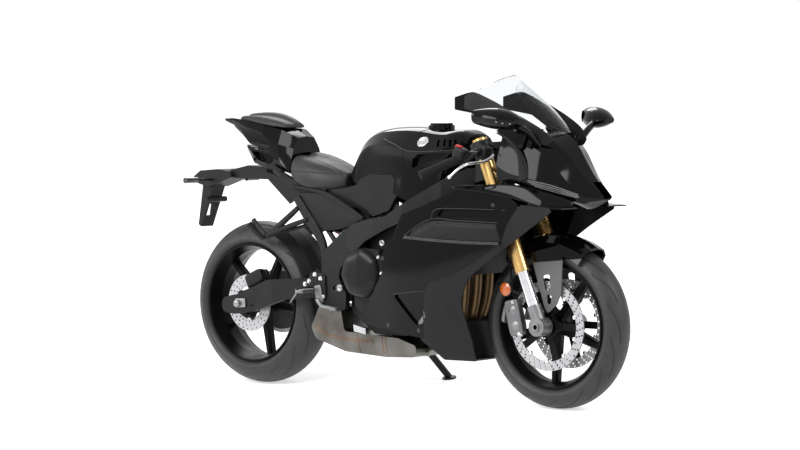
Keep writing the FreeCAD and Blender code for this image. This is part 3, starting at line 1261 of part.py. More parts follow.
MIRROR_STATIONS_SHARES = [
    (0.417, [(0.425, 0.878), (0.433, 0.893), (0.458, 0.905), (0.483, 0.904), (0.50, 0.889), (0.488, 0.871),
             (0.462, 0.864), (0.438, 0.868)]),
    (0.445, [(0.368, 0.870), (0.382, 0.893), (0.43, 0.911), (0.475, 0.905), (0.50, 0.884), (0.472, 0.862),
             (0.425, 0.852), (0.384, 0.856)]),
    (0.485, [(0.325, 0.868), (0.345, 0.890), (0.408, 0.908), (0.462, 0.899), (0.488, 0.879), (0.455, 0.858),
             (0.395, 0.847), (0.343, 0.853)]),
    (0.524, [(0.340, 0.869), (0.352, 0.875), (0.38, 0.882), (0.405, 0.879), (0.421, 0.871), (0.405, 0.865),
             (0.38, 0.861), (0.352, 0.864)]),
]
MIRROR_CREASES = [0, 2, 4, 6]


def mirror_unit():
    """A mirror's pointed housing and its stay up from the nose."""
    wires = [creased_wire([at((xs, ys, zs)) for ys, zs in ring], MIRROR_CREASES)
             for xs, ring in MIRROR_STATIONS_SHARES]
    head = Part.makeLoft(wires, True, False)
    stay = sweep([at((0.50, 0.165, 0.80)), at((0.498, 0.25, 0.84)), at((0.485, 0.37, 0.87))], size("peg"))
    return fused([head, stay.cut(nose_solid)])


unit = mirror_unit().cut(pieces["nose_cowl"].Shape)
keep("mirrors", both_sides(sorted(unit.Solids, key=lambda solid: solid.Volume)[-1]))


def winglet():
    """A blade from under the nose out to its tip, with the end turned down to the strip."""
    root = [at((0.49, 0.13, 0.63)), at((0.605, 0.13, 0.616)), at((0.605, 0.13, 0.612)), at((0.49, 0.13, 0.622))]
    tip = [at((0.51, 0.345, 0.622)), at((0.612, 0.345, 0.616)), at((0.612, 0.345, 0.612)), at((0.51, 0.345, 0.614))]
    return Part.makeLoft([Part.makePolygon(root + root[:1]), Part.makePolygon(tip + tip[:1])], True, True)


wing = winglet().cut(mirrored(strip)).cut(mirrored(beyond_skin)).cut(mirrored(right_panel)).cut(nose_solid)
keep("winglets", both_sides(sorted(wing.Solids, key=lambda solid: solid.Volume)[-1]))

# Chain, hugger and rear caliper


def chain():
    """The chain as one closed band round both sprockets."""
    half = size("chain_height") / 2
    outer = Part.Face(chain_loop(half))
    inner = Part.Face(chain_loop(-half))
    band = outer.cut(inner).extrude(Vector(0, size("chain_width"), 0))
    band.translate(Vector(0, size("chain_side") - size("chain_width") / 2, 0))
    return band


keep("chain", chain())


def hugger():
    """The rear tyre's guard on the swingarm."""
    inner = size("rear_radius") + 14
    half = size("rear_tyre_width") * 0.52
    wall = size("panel")
    points = [Vector(inner * 0.90, -half, 0), Vector(inner * 0.985, -half * 0.6, 0), Vector(inner, 0, 0),
              Vector(inner * 0.985, half * 0.6, 0), Vector(inner * 0.90, half, 0)]
    under = [Vector(p.x + wall, p.y, 0) for p in reversed(points)]
    face = Part.Face(Part.makePolygon(points + under + points[:1]))
    arch = face.revolve(ORIGIN, SIDEWAYS, 40)
    arch.rotate(ORIGIN, SIDEWAYS, -62)
    arch.translate(REAR_AXLE)
    strap_shares = [(-0.265, 0.34), (-0.242, 0.34), (-0.283, 0.386), (-0.292, 0.376)]
    straps = []
    for sign in (1, -1):
        strap = side_prism(strap_shares, sign * size("pivot_boss") * 1.1, sign * size("pivot_boss") * 1.7)
        straps.append(strap.cut(pieces["swingarm"].Shape.translated(Vector(0, 0, size("fit")))))
    return fused([arch] + straps)


keep("hugger", hugger())


def rear_caliper():
    """The rear caliper above the arm, straddling the disc."""
    block = Part.makeBox(size("rear_caliper_length"), 2 * size("caliper_half"), size("caliper_depth"))
    block.translate(Vector(-size("rear_caliper_length") / 2, -size("caliper_half"), size("rear_disc") - size("caliper_depth") / 2))
    block.Placement = Placement(REAR_AXLE - Vector(0, size("rear_disc_side"), 0),
                                Rotation(SIDEWAYS, 25)).multiply(block.Placement)
    slot = Part.makeCylinder(size("rear_disc") + size("brake_gap"), size("disc_thickness") + 2 * size("brake_gap"),
                             REAR_AXLE - Vector(0, size("rear_disc_side") + size("disc_thickness") / 2
                                                + size("brake_gap"), 0), SIDEWAYS)
    return block.cut(slot).cut(pieces["swingarm"].Shape)


keep("rear_caliper", rear_caliper())


def shock():
    """The rear damper upright behind the engine."""
    low = at((-0.206, 0, 0.297)) + Vector(0, 0, size("fit"))
    high = at((-0.206, 0, 0.517))
    return bar(low, high, size("shock_radius"))


keep("shock", shock().cut(pieces["subframe"].Shape))


def footrest():
    """A footrest's hanger plate and its peg."""
    plate_shares = [(-0.20, 0.295), (-0.25, 0.325), (-0.262, 0.345), (-0.235, 0.385), (-0.19, 0.375), (-0.186, 0.305)]
    side = across(0.20) + size("fit")
    plate = side_prism(plate_shares, side, side + size("flange"), size("flange"))
    peg = bar(at((-0.24, 0.18, 0.333)), at((-0.24, 0.32, 0.333)), size("peg") / 2)
    return fused([plate, peg])


keep("footrests", both_sides(footrest().cut(pieces["swingarm"].Shape).cut(left_spar)))


def pillion_peg():
    """A passenger footrest's forked hanger and its folded peg."""
    upper_arm = bar(at((-0.283, 0.133, 0.618)), at((-0.42, 0.18, 0.487)), size("peg") / 2)
    lower_arm = bar(at((-0.228, 0.141, 0.547)), at((-0.42, 0.18, 0.487)), size("peg") / 2)
    peg = bar(at((-0.42, 0.18, 0.483)), at((-0.452, 0.235, 0.532)), size("peg"))
    return fused([upper_arm, lower_arm, peg])


keep("pillion_pegs", both_sides(clear_rails(pillion_peg()).cut(tail)))

KNEE_SHARES = [
    (-0.115, 0.625), (-0.08, 0.682), (-0.045, 0.70), (0.03, 0.70), (0.06, 0.66), (0.02, 0.588),
    (-0.035, 0.568), (-0.055, 0.59),
]
knee = side_prism(KNEE_SHARES, across(0.155), across(0.182), size("overrun")).cut(tank)
knee = clear_rails(knee.cut(tank.translated(Vector(0, size("fit"), 0))).cut(seat).cut(left_spar))
knee = sorted(knee.Solids, key=lambda solid: solid.Volume)[-1]
UNDER_TAIL_SHARES = [
    (-0.462, 0.708), (-0.349, 0.682), (-0.20, 0.650), (-0.222, 0.634), (-0.300, 0.637), (-0.312, 0.618),
    (-0.336, 0.597), (-0.425, 0.684),
]
under_tail = side_prism(UNDER_TAIL_SHARES, across(0.150), across(0.150) + size("panel"), size("flange"))
under_tail = clear_rails(under_tail).cut(tail).cut(seat).cut(pieces["pillion_pegs"].Shape)
under_tail = sorted(under_tail.Solids, key=lambda solid: solid.Volume)[-1]
keep("side_covers", Part.makeCompound([knee, mirrored(knee), under_tail, mirrored(under_tail)]))

# Side stand


def side_stand():
    """The stand's leg from its pivot to a flat foot on the ground."""
    normal = LEANED.Rotation.inverted().multVec(UPWARDS)
    pad_top = FOOT + normal * size("stand_pad")
    foot = Part.makeCylinder(size("stand_foot"), size("stand_pad"), FOOT, normal)
    leg = bar(STAND_PIVOT, pad_top, size("stand_leg"))
    half = FOLD_AXIS * BOSS_HALF
    boss = bar(STAND_PIVOT - half, STAND_PIVOT + half, BOSS_HALF)
    ankle = Part.makeSphere(size("stand_leg"), pad_top)
    below = Part.makeBox(size("width"), size("width"), size("width"))
    below.translate(Vector(-size("width") / 2, -size("width") / 2, -size("width")))
    below.Placement = Placement(FOOT, LEANED.Rotation.inverted()).multiply(below.Placement)
    return fused([foot, leg, ankle, boss]).cut(below)


keep("side_stand", side_stand())

# Every feature is sound before anything is written
doc.recompute()
for item in doc.Objects:
    if "Invalid" in item.State or "Error" in item.State:
        raise RuntimeError("%s failed: %s" % (item.Name, item.State))
unsound = [name for name, piece in pieces.items()
           if piece.Shape.isNull() or not piece.Shape.isValid() or not piece.Shape.Solids]
if unsound:
    raise RuntimeError("no sound shape: " + ", ".join(unsound))

# The machine leans on its stand, and the origin moves under the middle of its box
for piece in pieces.values():
    piece.Placement = LEANED.multiply(piece.Placement)
box = FreeCAD.BoundBox()
for piece in pieces.values():
    box.add(piece.Shape.optimalBoundingBox())
shift = Placement(Vector(-box.Center.x, -box.Center.y, -box.ZMin), Rotation())
for piece in pieces.values():
    piece.Placement = shift.multiply(piece.Placement)
doc.recompute()

os.makedirs("parts", exist_ok=True)
for name, piece in pieces.items():
    piece.Shape.exportStep(os.path.join("parts", name + ".step"))

stance = shift.multiply(LEANED)
for label, place in (("front axle", FRONT_AXLE), ("rear axle", REAR_AXLE), ("steering foot", STEERING_FOOT),
                     ("stand pivot", STAND_PIVOT), ("cap hinge", CAP_HINGE), ("pivot", PIVOT)):
    print(label, stance.multVec(place))
for label, way in (("steering axis", STEERING_AXIS), ("sideways", SIDEWAYS), ("forwards", FORWARDS),
                   ("upwards", UPWARDS), ("stand leg", STAND_LEG), ("fold axis", FOLD_AXIS)):
    print(label, stance.Rotation.multVec(way))
print("spool", stance.multVec(at(SPOOL_SHARES)))
print("grip middle", stance.multVec((GRIP_INNER + GRIP_OUTER) / 2))
print("lever tip", stance.multVec(LEVER_TIP))
print("box", box)
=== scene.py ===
import json
import math

import bpy
import numpy as np
from mathutils import Matrix


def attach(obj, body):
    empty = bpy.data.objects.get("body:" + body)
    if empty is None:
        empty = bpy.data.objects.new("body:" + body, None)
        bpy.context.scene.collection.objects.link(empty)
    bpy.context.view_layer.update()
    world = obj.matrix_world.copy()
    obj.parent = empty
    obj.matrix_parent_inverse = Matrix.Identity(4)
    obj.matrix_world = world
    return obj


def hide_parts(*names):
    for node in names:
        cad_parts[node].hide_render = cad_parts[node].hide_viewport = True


# A faired sport motorcycle, leaning on its side stand. Shapes are worked out on the upright
# machine, in millimetres, X forward, Y to the rider's left, Z up, with the origin on the
# ground midway between the axles, and then leaned with the frame.
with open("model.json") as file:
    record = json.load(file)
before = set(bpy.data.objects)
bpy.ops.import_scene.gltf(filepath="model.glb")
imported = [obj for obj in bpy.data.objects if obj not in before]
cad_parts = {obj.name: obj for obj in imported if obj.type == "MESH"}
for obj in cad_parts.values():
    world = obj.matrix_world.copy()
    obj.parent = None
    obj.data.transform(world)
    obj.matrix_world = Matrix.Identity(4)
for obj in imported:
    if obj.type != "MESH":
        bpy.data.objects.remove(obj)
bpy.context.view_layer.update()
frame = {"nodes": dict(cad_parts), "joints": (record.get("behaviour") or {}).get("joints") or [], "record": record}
NODES = frame["nodes"]
RECORD = frame["record"]
JOINTS = {joint["name"]: joint for joint in frame["joints"]}

WHEELBASE = 1420.0
WIDTH = 705.0
HEIGHT = 1180.0
FRONT_RADIUS = 300.0
REAR_RADIUS = 315.0
FRONT_AXLE = np.array([WHEELBASE / 2, 0.0, FRONT_RADIUS])
REAR_AXLE = np.array([-WHEELBASE / 2, 0.0, REAR_RADIUS])
MM = 0.001


def unit(vector):
    """A vector, or each of several, scaled to length one."""
    vector = np.asarray(vector, float)
    return vector / np.linalg.norm(vector, axis=-1, keepdims=True)


def stance():
    """The leaned machine's axes as columns, and the place of its origin, from the two wheels."""
    front = np.array(JOINTS["front_wheel_spin"]["pos_m"])
    rear = np.array(JOINTS["rear_wheel_spin"]["pos_m"])
    side = unit(JOINTS["rear_wheel_spin"]["axis"])
    along = unit(front - rear)
    rise = np.cross(along, side)
    drop = REAR_RADIUS - FRONT_RADIUS
    ahead = unit(WHEELBASE * along + drop * rise)
    turn = np.column_stack([ahead, side, np.cross(ahead, side)])
    return turn, front - turn @ (FRONT_AXLE * MM)


TURN, ORIGIN = stance()


def placed(points):
    """Points of the upright machine in millimetres, as points of the frame in metres."""
    return np.asarray(points, float) * MM @ TURN.T + ORIGIN


def leaned(direction):
    """A direction of the upright machine, in the frame."""
    return TURN @ np.asarray(direction, float)


def new_object(name, data):
    """An object in the scene that shows its data."""
    made = bpy.data.objects.new(name, data)
    bpy.context.scene.collection.objects.link(made)
    return made


def set_place(shown, right, above, back, place):
    """Turns an object's own X, Y and Z to three directions of the frame, and moves it there."""
    matrix = np.eye(4)
    matrix[:3] = np.column_stack([right, above, back, place])
    shown.matrix_world = Matrix(matrix.tolist())


def round_steps(count):
    """Angles that go once round in even steps."""
    return np.arange(count) * 2 * np.pi / count


# The photograph's camera, on the upright machine, in millimetres and degrees

CAMERA_PLACE = np.array([6454.6, -7799.9, 1148.2])
CAMERA_YAW = math.radians(129.712)
CAMERA_PITCH = math.radians(-2.9006)
CAMERA_ROLL = math.radians(-0.1231)
FOCAL_PIXELS = 2716.03
PICTURE_WIDTH = 800
SENSOR_WIDTH = 36.0
FARTHEST_SEEN = 100.0


def make_camera():
    """A camera at the fitted place, looking along the fitted line of sight."""
    look = np.array([math.cos(CAMERA_YAW) * math.cos(CAMERA_PITCH),
                     math.sin(CAMERA_YAW) * math.cos(CAMERA_PITCH), math.sin(CAMERA_PITCH)])
    right = unit(np.cross(look, [0, 0, 1]))
    above = np.cross(right, look)
    rolled_right = math.cos(CAMERA_ROLL) * right + math.sin(CAMERA_ROLL) * above
    rolled_above = math.cos(CAMERA_ROLL) * above - math.sin(CAMERA_ROLL) * right
    data = bpy.data.cameras.new("Camera")
    data.sensor_width = SENSOR_WIDTH
    data.lens = FOCAL_PIXELS * SENSOR_WIDTH / PICTURE_WIDTH
    data.clip_end = FARTHEST_SEEN
    camera = new_object("Camera", data)
    set_place(camera, leaned(rolled_right), leaned(rolled_above), -leaned(look), placed(CAMERA_PLACE))
    bpy.context.scene.camera = camera


make_camera()


# Meshes from arrays


def grid_faces(rows, columns, wrap_rows=False, wrap_columns=False):
    """Quads of a grid of points stored row by row, closed round where a way wraps."""
    row = np.arange(rows if wrap_rows else rows - 1)
    column = np.arange(columns if wrap_columns else columns - 1)
    r, c = (part.ravel() for part in np.meshgrid(row, column, indexing="ij"))
    next_r = (r + 1) % rows
    next_c = (c + 1) % columns
    return np.column_stack([r * columns + c, r * columns + next_c,
                            next_r * columns + next_c, next_r * columns + c])


def mesh_piece(name, points, faces, body, slot, material, replaces=(), smooth=True):
    """A piece from points of the upright machine and faces of three or four corners."""
    mesh = bpy.data.meshes.new(name)
    corners = placed(points)
    faces = np.asarray(faces)
    mesh.vertices.add(len(corners))
    mesh.vertices.foreach_set("co", corners.astype(np.float32).ravel())
    mesh.loops.add(faces.size)
    mesh.loops.foreach_set("vertex_index", faces.ravel().astype(np.int32))
    mesh.polygons.add(len(faces))
    mesh.polygons.foreach_set("loop_start", (np.arange(len(faces)) * faces.shape[1]).astype(np.int32))
    mesh.update(calc_edges=True)
    mesh.polygons.foreach_set("use_smooth", np.full(len(faces), smooth))
    mesh.materials.append(material)
    piece = new_object(name, mesh)
    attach(piece, body)
    if replaces:
        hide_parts(*replaces)
    return piece


def joined(parts):
    """Several lots of points and faces as one lot."""
    points, faces, start = [], [], 0
    for part_points, part_faces in parts:
        points.append(np.asarray(part_points, float))
        faces.append(np.asarray(part_faces) + start)
        start += len(part_points)
    return np.vstack(points), np.vstack(faces)


def facing_out(points, faces):
    """The faces of a closed form wound so that they face outwards, by the sign of its volume."""
    points = points - points.mean(axis=0)
    a, b, c = points[faces[:, 0]], points[faces[:, 1]], points[faces[:, 2]]
    volume = np.einsum("ij,ij->", a, np.cross(b, c))
    if faces.shape[1] == 4:
        volume += np.einsum("ij,ij->", a, np.cross(c, points[faces[:, 3]]))
    return faces if volume > 0 else faces[:, ::-1]


def wrapped(grid, wrap_rows=False):
    """A closed form from a grid of points whose rows go round: its points in one row, and its
    faces wound outwards."""
    rows, columns = grid.shape[:2]
    points = grid.reshape(-1, 3)
    return points, facing_out(points, grid_faces(rows, columns, wrap_rows, wrap_columns=True))


# Finishes


def new_material(name, base, roughness, metallic=0.0, **sockets):
    """A principled finish with its constant values on the shader's own sockets."""
    material = bpy.data.materials.new(name)
    material.use_nodes = True
    shader = shader_of(material)
    shader.inputs["Base Color"].default_value = (*base, 1.0)
    shader.inputs["Roughness"].default_value = roughness
    shader.inputs["Metallic"].default_value = metallic
    for socket, value in sockets.items():
        shader.inputs[socket.replace("_", " ")].default_value = value
    return material


def node(material, kind, **values):
    """A shader node with some of its inputs or settings given."""
    made = material.node_tree.nodes.new(kind)
    for key, value in values.items():
        if key in made.inputs:
            made.inputs[key].default_value = value
        else:
            setattr(made, key, value)
    return made


def link(material, source, source_socket, target, target_socket):
    """A link from one node's output to another's input."""
    material.node_tree.links.new(source.outputs[source_socket], target.inputs[target_socket])


def shader_of(material):
    """The shader that every finish here ends in."""
    return material.node_tree.nodes["Principled BSDF"]


def own_place(material, target, socket="Vector"):
    """Leads the piece's own place into a node's input."""
    link(material, node(material, "ShaderNodeTexCoord"), "Object", target, socket)


def place_from(material, centre):
    """The piece's own place, counted from a place on the upright machine."""
    shift = node(material, "ShaderNodeVectorMath", operation="SUBTRACT")
    shift.inputs[1].default_value = tuple(placed(centre))
    own_place(material, shift, 0)
    return shift


def noise(material, scale, detail=4.0, stretch=None):
    """Noise on the piece's own place, with an optional stretch along X, Y and Z."""
    mapping = node(material, "ShaderNodeMapping")
    if stretch:
        mapping.inputs["Scale"].default_value = stretch
    own_place(material, mapping)
    made = node(material, "ShaderNodeTexNoise", Scale=scale, Detail=detail)
    link(material, mapping, "Vector", made, "Vector")
    return made


def vary_roughness(material, source, low, high, socket="Fac"):
    """Roughness that wanders between two values."""
    ranged = node(material, "ShaderNodeMapRange")
    ranged.inputs["To Min"].default_value = low
    ranged.inputs["To Max"].default_value = high
    link(material, source, socket, ranged, "Value")
    link(material, ranged, "Result", shader_of(material), "Roughness")


def vary_colour(material, source, dark, light, low=0.3, high=0.7, socket="Fac"):
    """Colour that wanders between two shades."""
    ramp = node(material, "ShaderNodeValToRGB")
    ramp.color_ramp.elements[0].position = low
    ramp.color_ramp.elements[0].color = (*dark, 1)
    ramp.color_ramp.elements[1].position = high
    ramp.color_ramp.elements[1].color = (*light, 1)
    link(material, source, socket, ramp, "Fac")
    link(material, ramp, "Color", shader_of(material), "Base Color")
    return ramp


def relief(material, source, strength, distance, socket="Fac", edge=0.0):
    """Bump from a pattern, on normals eased over sharp edges by a small radius."""
    bump = node(material, "ShaderNodeBump", Strength=strength, Distance=distance)
    link(material, source, socket, bump, "Height")
    if edge:
        eased = node(material, "ShaderNodeBevel", samples=4, Radius=edge)
        link(material, eased, "Normal", bump, "Normal")
    link(material, bump, "Normal", shader_of(material), "Normal")
    return bump


EDGE = 0.0012


def shaded(base, share):
    """A colour made darker or lighter by a share, and no lighter than white."""
    return tuple(min(1.0, channel * share) for channel in base)


def gloss_paint():
    """Gloss black paint: a deep base with fine flake and a faint orange peel."""
    made = new_material("gloss_paint", (0.0016, 0.0017, 0.0019), 0.08, IOR=1.24)
    vary_colour(made, noise(made, scale=2600.0, detail=1.0), dark=(0.0013, 0.0014, 0.0016),
                light=(0.0026, 0.0027, 0.0031), low=0.45, high=0.75)
    vary_roughness(made, noise(made, scale=9.0, detail=3.0), low=0.05, high=0.11)
    relief(made, noise(made, scale=420.0, detail=1.0), strength=0.015, distance=0.0002, edge=EDGE)
    return made


def grained_plastic(name, base, roughness, grain=1500.0, depth=0.0003):
    """Moulded plastic with a fine stipple and slight wear in its shine."""
    made = new_material(name, base, roughness, IOR=1.25)
    wander = noise(made, scale=14.0)
    vary_roughness(made, wander, low=roughness - 0.08, high=roughness + 0.08)
    vary_colour(made, wander, dark=shaded(base, 0.85), light=shaded(base, 1.2))
    relief(made, noise(made, scale=grain, detail=2.0), strength=0.25, distance=depth, edge=EDGE)
    return made


def cast_metal(name, base, roughness, metallic, grain=700.0, strength=0.3, ior=1.3):
    """Painted or bare casting: fine sand texture and a slow change of shade."""
    made = new_material(name, base, roughness, metallic, IOR=ior)
    vary_colour(made, noise(made, scale=22.0, detail=5.0), dark=shaded(base, 0.8),
                light=shaded(base, 1.2))
    vary_roughness(made, noise(made, scale=60.0), low=roughness - 0.07, high=roughness + 0.09)
    relief(made, noise(made, scale=grain, detail=3.0), strength=strength, distance=0.0003, edge=EDGE)
    return made


def turned_metal(name, base, roughness, stretch=(1.0, 1.0, 1.0), metallic=1.0, strength=0.08):
    """Machined metal with fine lines: noise stretched along one way."""
    made = new_material(name, base, roughness, metallic)
    lines = noise(made, scale=900.0, detail=2.0, stretch=stretch)
    vary_roughness(made, lines, low=roughness - 0.08, high=roughness + 0.10)
    vary_colour(made, noise(made, scale=30.0, detail=3.0), dark=shaded(base, 0.9),
                light=shaded(base, 1.06))
    relief(made, lines, strength=strength, distance=0.0001, edge=EDGE)
    return made


def ringed_metal(name, centre, base, roughness):
    """A disc's ground face: fine rings about the wheel's axle."""
    made = new_material(name, base, roughness, metallic=0.85)
    length = node(made, "ShaderNodeVectorMath", operation="LENGTH")
    link(made, place_from(made, centre), "Vector", length, 0)
    rings = node(made, "ShaderNodeTexNoise", noise_dimensions="1D", Scale=2600.0, Detail=3.0)
    link(made, length, "Value", rings, "W")
    vary_roughness(made, rings, low=roughness - 0.1, high=roughness + 0.12)
    vary_colour(made, rings, dark=(base[0] * 0.82, base[1] * 0.82, base[2] * 0.84), light=base)
    relief(made, rings, strength=0.06, distance=0.0001)
    return made


def tyre_rubber():
    """Black tyre rubber: soft sheen, a little dust, and painted shade that darkens the grooves of the tread."""
    made = new_material("tyre_rubber", (0.026, 0.026, 0.026), 0.55, IOR=1.45)
    shade = vary_colour(made, noise(made, scale=18.0, detail=6.0), dark=(0.015, 0.015, 0.0154),
                        light=(0.025, 0.0247, 0.0244))
    # Painted shade: the deeper a point lies in a groove, the nearer its colour goes to black
    depth = node(made, "ShaderNodeAttribute", attribute_name="groove")
    mix = node(made, "ShaderNodeMix", data_type="RGBA")
    mix.inputs["B"].default_value = (0.001, 0.001, 0.001, 1)
    link(made, depth, "Fac", mix, "Factor")
    made.node_tree.links.new(shade.outputs["Color"], mix.inputs["A"])
    made.node_tree.links.new(mix.outputs["Result"], shader_of(made).inputs["Base Color"])
    vary_roughness(made, noise(made, scale=90.0), low=0.42, high=0.62)
    relief(made, noise(made, scale=1400.0, detail=3.0), strength=0.2, distance=0.0003)
    return made


def seat_cover():
    """Seat vinyl: small leather grain from cell edges, and a satin shine."""
    made = new_material("seat_cover", (0.014, 0.014, 0.015), 0.52, IOR=1.42)
    cells = node(made, "ShaderNodeTexVoronoi", feature="DISTANCE_TO_EDGE", Scale=520.0)
    own_place(made, cells)
    vary_roughness(made, noise(made, scale=30.0), low=0.44, high=0.60)
    vary_colour(made, noise(made, scale=12.0), dark=(0.011, 0.011, 0.012), light=(0.019, 0.019, 0.020))
    relief(made, cells, strength=0.35, distance=0.0004, socket="Distance")
    return made


def clear_plastic(name, tint, roughness, ior):
    """Clear moulded plastic with faint scratches."""
    made = new_material(name, tint, roughness, Transmission_Weight=1.0, IOR=ior)
    vary_roughness(made, noise(made, scale=160.0, detail=5.0), low=0.0, high=roughness * 2)
    return made


def heat_metal(name, base, tint, roughness):
    """Stainless that heat has coloured in soft patches, with a brushed grain."""
    made = new_material(name, base, roughness, metallic=1.0)
    vary_colour(made, noise(made, scale=9.0), dark=tint, light=base, low=0.35, high=0.6)
    lines = noise(made, scale=800.0, detail=2.0, stretch=(0.1, 1.0, 1.0))
    vary_roughness(made, lines, low=roughness - 0.08, high=roughness + 0.12)
    relief(made, lines, strength=0.1, distance=0.0002, edge=EDGE)
    return made


def reflector_plastic(name, base):
    """A moulded reflector: a lens of small prisms behind a smooth face."""
    made = new_material(name, base, 0.18, IOR=1.49, Coat_Weight=0.6)
    prisms = node(made, "ShaderNodeTexVoronoi", Scale=260.0)
    own_place(made, prisms)
    vary_colour(made, prisms, dark=shaded(base, 0.55), light=base, low=0.1, high=0.6, socket="Distance")
    relief(made, prisms, strength=0.5, distance=0.0008, socket="Distance")
    return made


DISC_GREY = (0.46, 0.46, 0.47)
FINISH = {
    "gloss": gloss_paint(),
    "matte": grained_plastic("matte_moulding", (0.0095, 0.0097, 0.0101), 0.50),
    "frame": cast_metal("frame_paint", (0.0105, 0.0107, 0.0112), 0.44, 0.2),
    "engine": cast_metal("engine_black", (0.009, 0.009, 0.0095), 0.45, 0.2),
    "cover": cast_metal("cover_black", (0.008, 0.008, 0.0084), 0.32, 0.2, grain=420.0, strength=0.2),
    "wheel": cast_metal("wheel_black", (0.004, 0.004, 0.0043), 0.36, 0.1, 500.0, 0.15, ior=1.2),
    "tyre": tyre_rubber(),
    "rubber": grained_plastic("grip_rubber", (0.009, 0.009, 0.0095), 0.7, grain=900.0, depth=0.0005),
    "gold": turned_metal("gold_anodised", (0.62, 0.40, 0.15), 0.25, (1.0, 1.0, 0.04), strength=0.03),
    "chrome": turned_metal("hard_chrome", (0.78, 0.78, 0.80), 0.10, (1.0, 1.0, 8.0), strength=0.005),
    "cast_grey": cast_metal("grey_alloy", (0.20, 0.20, 0.205), 0.40, 0.7, grain=800.0, strength=0.25),
    "disc": ringed_metal("disc_front", FRONT_AXLE, DISC_GREY, 0.42),
    "steel": turned_metal("plain_steel", (0.30, 0.30, 0.31), 0.36),
    "exhaust": heat_metal("brushed_stainless", (0.17, 0.165, 0.153), (0.10, 0.09, 0.078), 0.30),
    "seat": seat_cover(),
    "clear": clear_plastic("screen_clear", (0.90, 0.92, 0.93), 0.01, ior=1.12),
    "lamp": grained_plastic("lamp_dark_lens", (0.004, 0.004, 0.0045), 0.12, grain=300.0, depth=0.0001),
    "red": reflector_plastic("lamp_red", (0.10, 0.002, 0.002)),
    "amber": reflector_plastic("lamp_smoked", (0.012, 0.009, 0.008)),
}
FINISH["mirror"] = FINISH["gloss"]
REAR_DISC = ringed_metal("disc_rear", REAR_AXLE, DISC_GREY, 0.42)
AMBER = reflector_plastic("reflector_amber", (0.50, 0.10, 0.008))
SILVER = turned_metal("bright_fastener", (0.62, 0.62, 0.63), 0.24)
DARK_STEEL = turned_metal("black_fastener", (0.030, 0.030, 0.032), 0.34, metallic=0.5)
MIRROR_GLASS = turned_metal("mirror_glass", (0.85, 0.86, 0.87), 0.06)
LIGHT_LINE = grained_plastic("light_guide", (0.22, 0.22, 0.225), 0.3)
COPPER = heat_metal("weld_copper", (0.26, 0.15, 0.085), (0.10, 0.05, 0.03), 0.4)
CALIPER = cast_metal("caliper_grey", (0.16, 0.16, 0.165), 0.36, 0.6, grain=600.0, strength=0.2)
# Pale grey for painted highlights: beads along creases and a ledge on the bodywork
CREASE_HIGHLIGHT = grained_plastic("painted_crease_highlight", (0.045, 0.045, 0.046), 0.3)
SEAM = grained_plastic("seam_dark", (0.002, 0.002, 0.002), 0.5)
SPRING = grained_plastic("spring_paint", (0.22, 0.050, 0.012), 0.35)
RED_SWITCH = grained_plastic("switch_red", (0.42, 0.012, 0.012), 0.4)
GLASS = grained_plastic("display_glass", (0.003, 0.003, 0.0035), 0.06, grain=200.0, depth=0.00005)

for subpart in RECORD["subparts"]:
    shown = NODES[subpart["node"]]
    shown.data.materials.clear()
    shown.data.materials.append(FINISH[subpart["material_slot"]])
NODES["rear_disc"].data.materials[0] = REAR_DISC
NODES["front_fender"].data.materials[0] = FINISH["gloss"]
NODES["rear_sprocket"].data.materials[0] = DARK_STEEL


def second_finish(node_name, name, base, roughness, place, direction, width=2.0):
    """A piece with two finishes: past a plane, given by a place and a direction on the upright
    machine, the base and the shine change over a short width in millimetres."""
    made = NODES[node_name].data.materials[0].copy()
    made.name = name
    NODES[node_name].data.materials[0] = made
    shader = shader_of(made)
    along = node(made, "ShaderNodeVectorMath", operation="DOT_PRODUCT")
    along.inputs[1].default_value = tuple(leaned(unit(direction)))
    link(made, place_from(made, place), "Vector", along, 0)
    past = node(made, "ShaderNodeMapRange")
    past.inputs["From Min"].default_value = -width * MM
    past.inputs["From Max"].default_value = width * MM
    link(made, along, "Value", past, "Value")
    for socket, value, kind in (("Base Color", (*base, 1.0), "RGBA"), ("Roughness", roughness, "FLOAT")):
        mix = node(made, "ShaderNodeMix", data_type=kind)
        _, before, after = [item for item in mix.inputs if item.enabled]
        link(made, past, "Result", mix, "Factor")
        made.node_tree.links.new(shader.inputs[socket].links[0].from_socket, before)
        after.default_value = value
        result = [item for item in mix.outputs if item.enabled][0]
        made.node_tree.links.new(result, shader.inputs[socket])


second_finish("front_fender", "fender_two_tone", base=(0.115, 0.116, 0.118), roughness=0.46,
              place=(690.0, 0, 528.0), direction=(0.1, 0, -1))
second_finish("exhaust", "exhaust_two_tone", base=(0.13, 0.085, 0.045), roughness=0.42,
              place=(285.0, 0, 300.0), direction=(1, 0, 0.1), width=40.0)


# Surfaces of the carried pieces, read as triangles

SURFACES = {}
PROBES_AT_ONCE = 48
LEAST_FACING = 1e-9


def rows_of(parts, key, kind=np.float32):
    """One value of each of a mesh's parts, three numbers a row."""
    values = np.zeros(len(parts) * 3, kind)
    parts.foreach_get(key, values)
    return values.reshape(-1, 3)


def upright(corners):
    """Points of the frame in metres, as points of the upright machine in millimetres."""
    return (corners - ORIGIN) @ TURN / MM


def triangles_of(name):
    """A carried piece's triangles on the upright machine, in millimetres."""
    if name not in SURFACES:
        mesh = NODES[name].data
        mesh.calc_loop_triangles()
        corners = upright(rows_of(mesh.vertices, "co"))
        SURFACES[name] = corners[rows_of(mesh.loop_triangles, "vertices", np.int32)]
    return SURFACES[name]


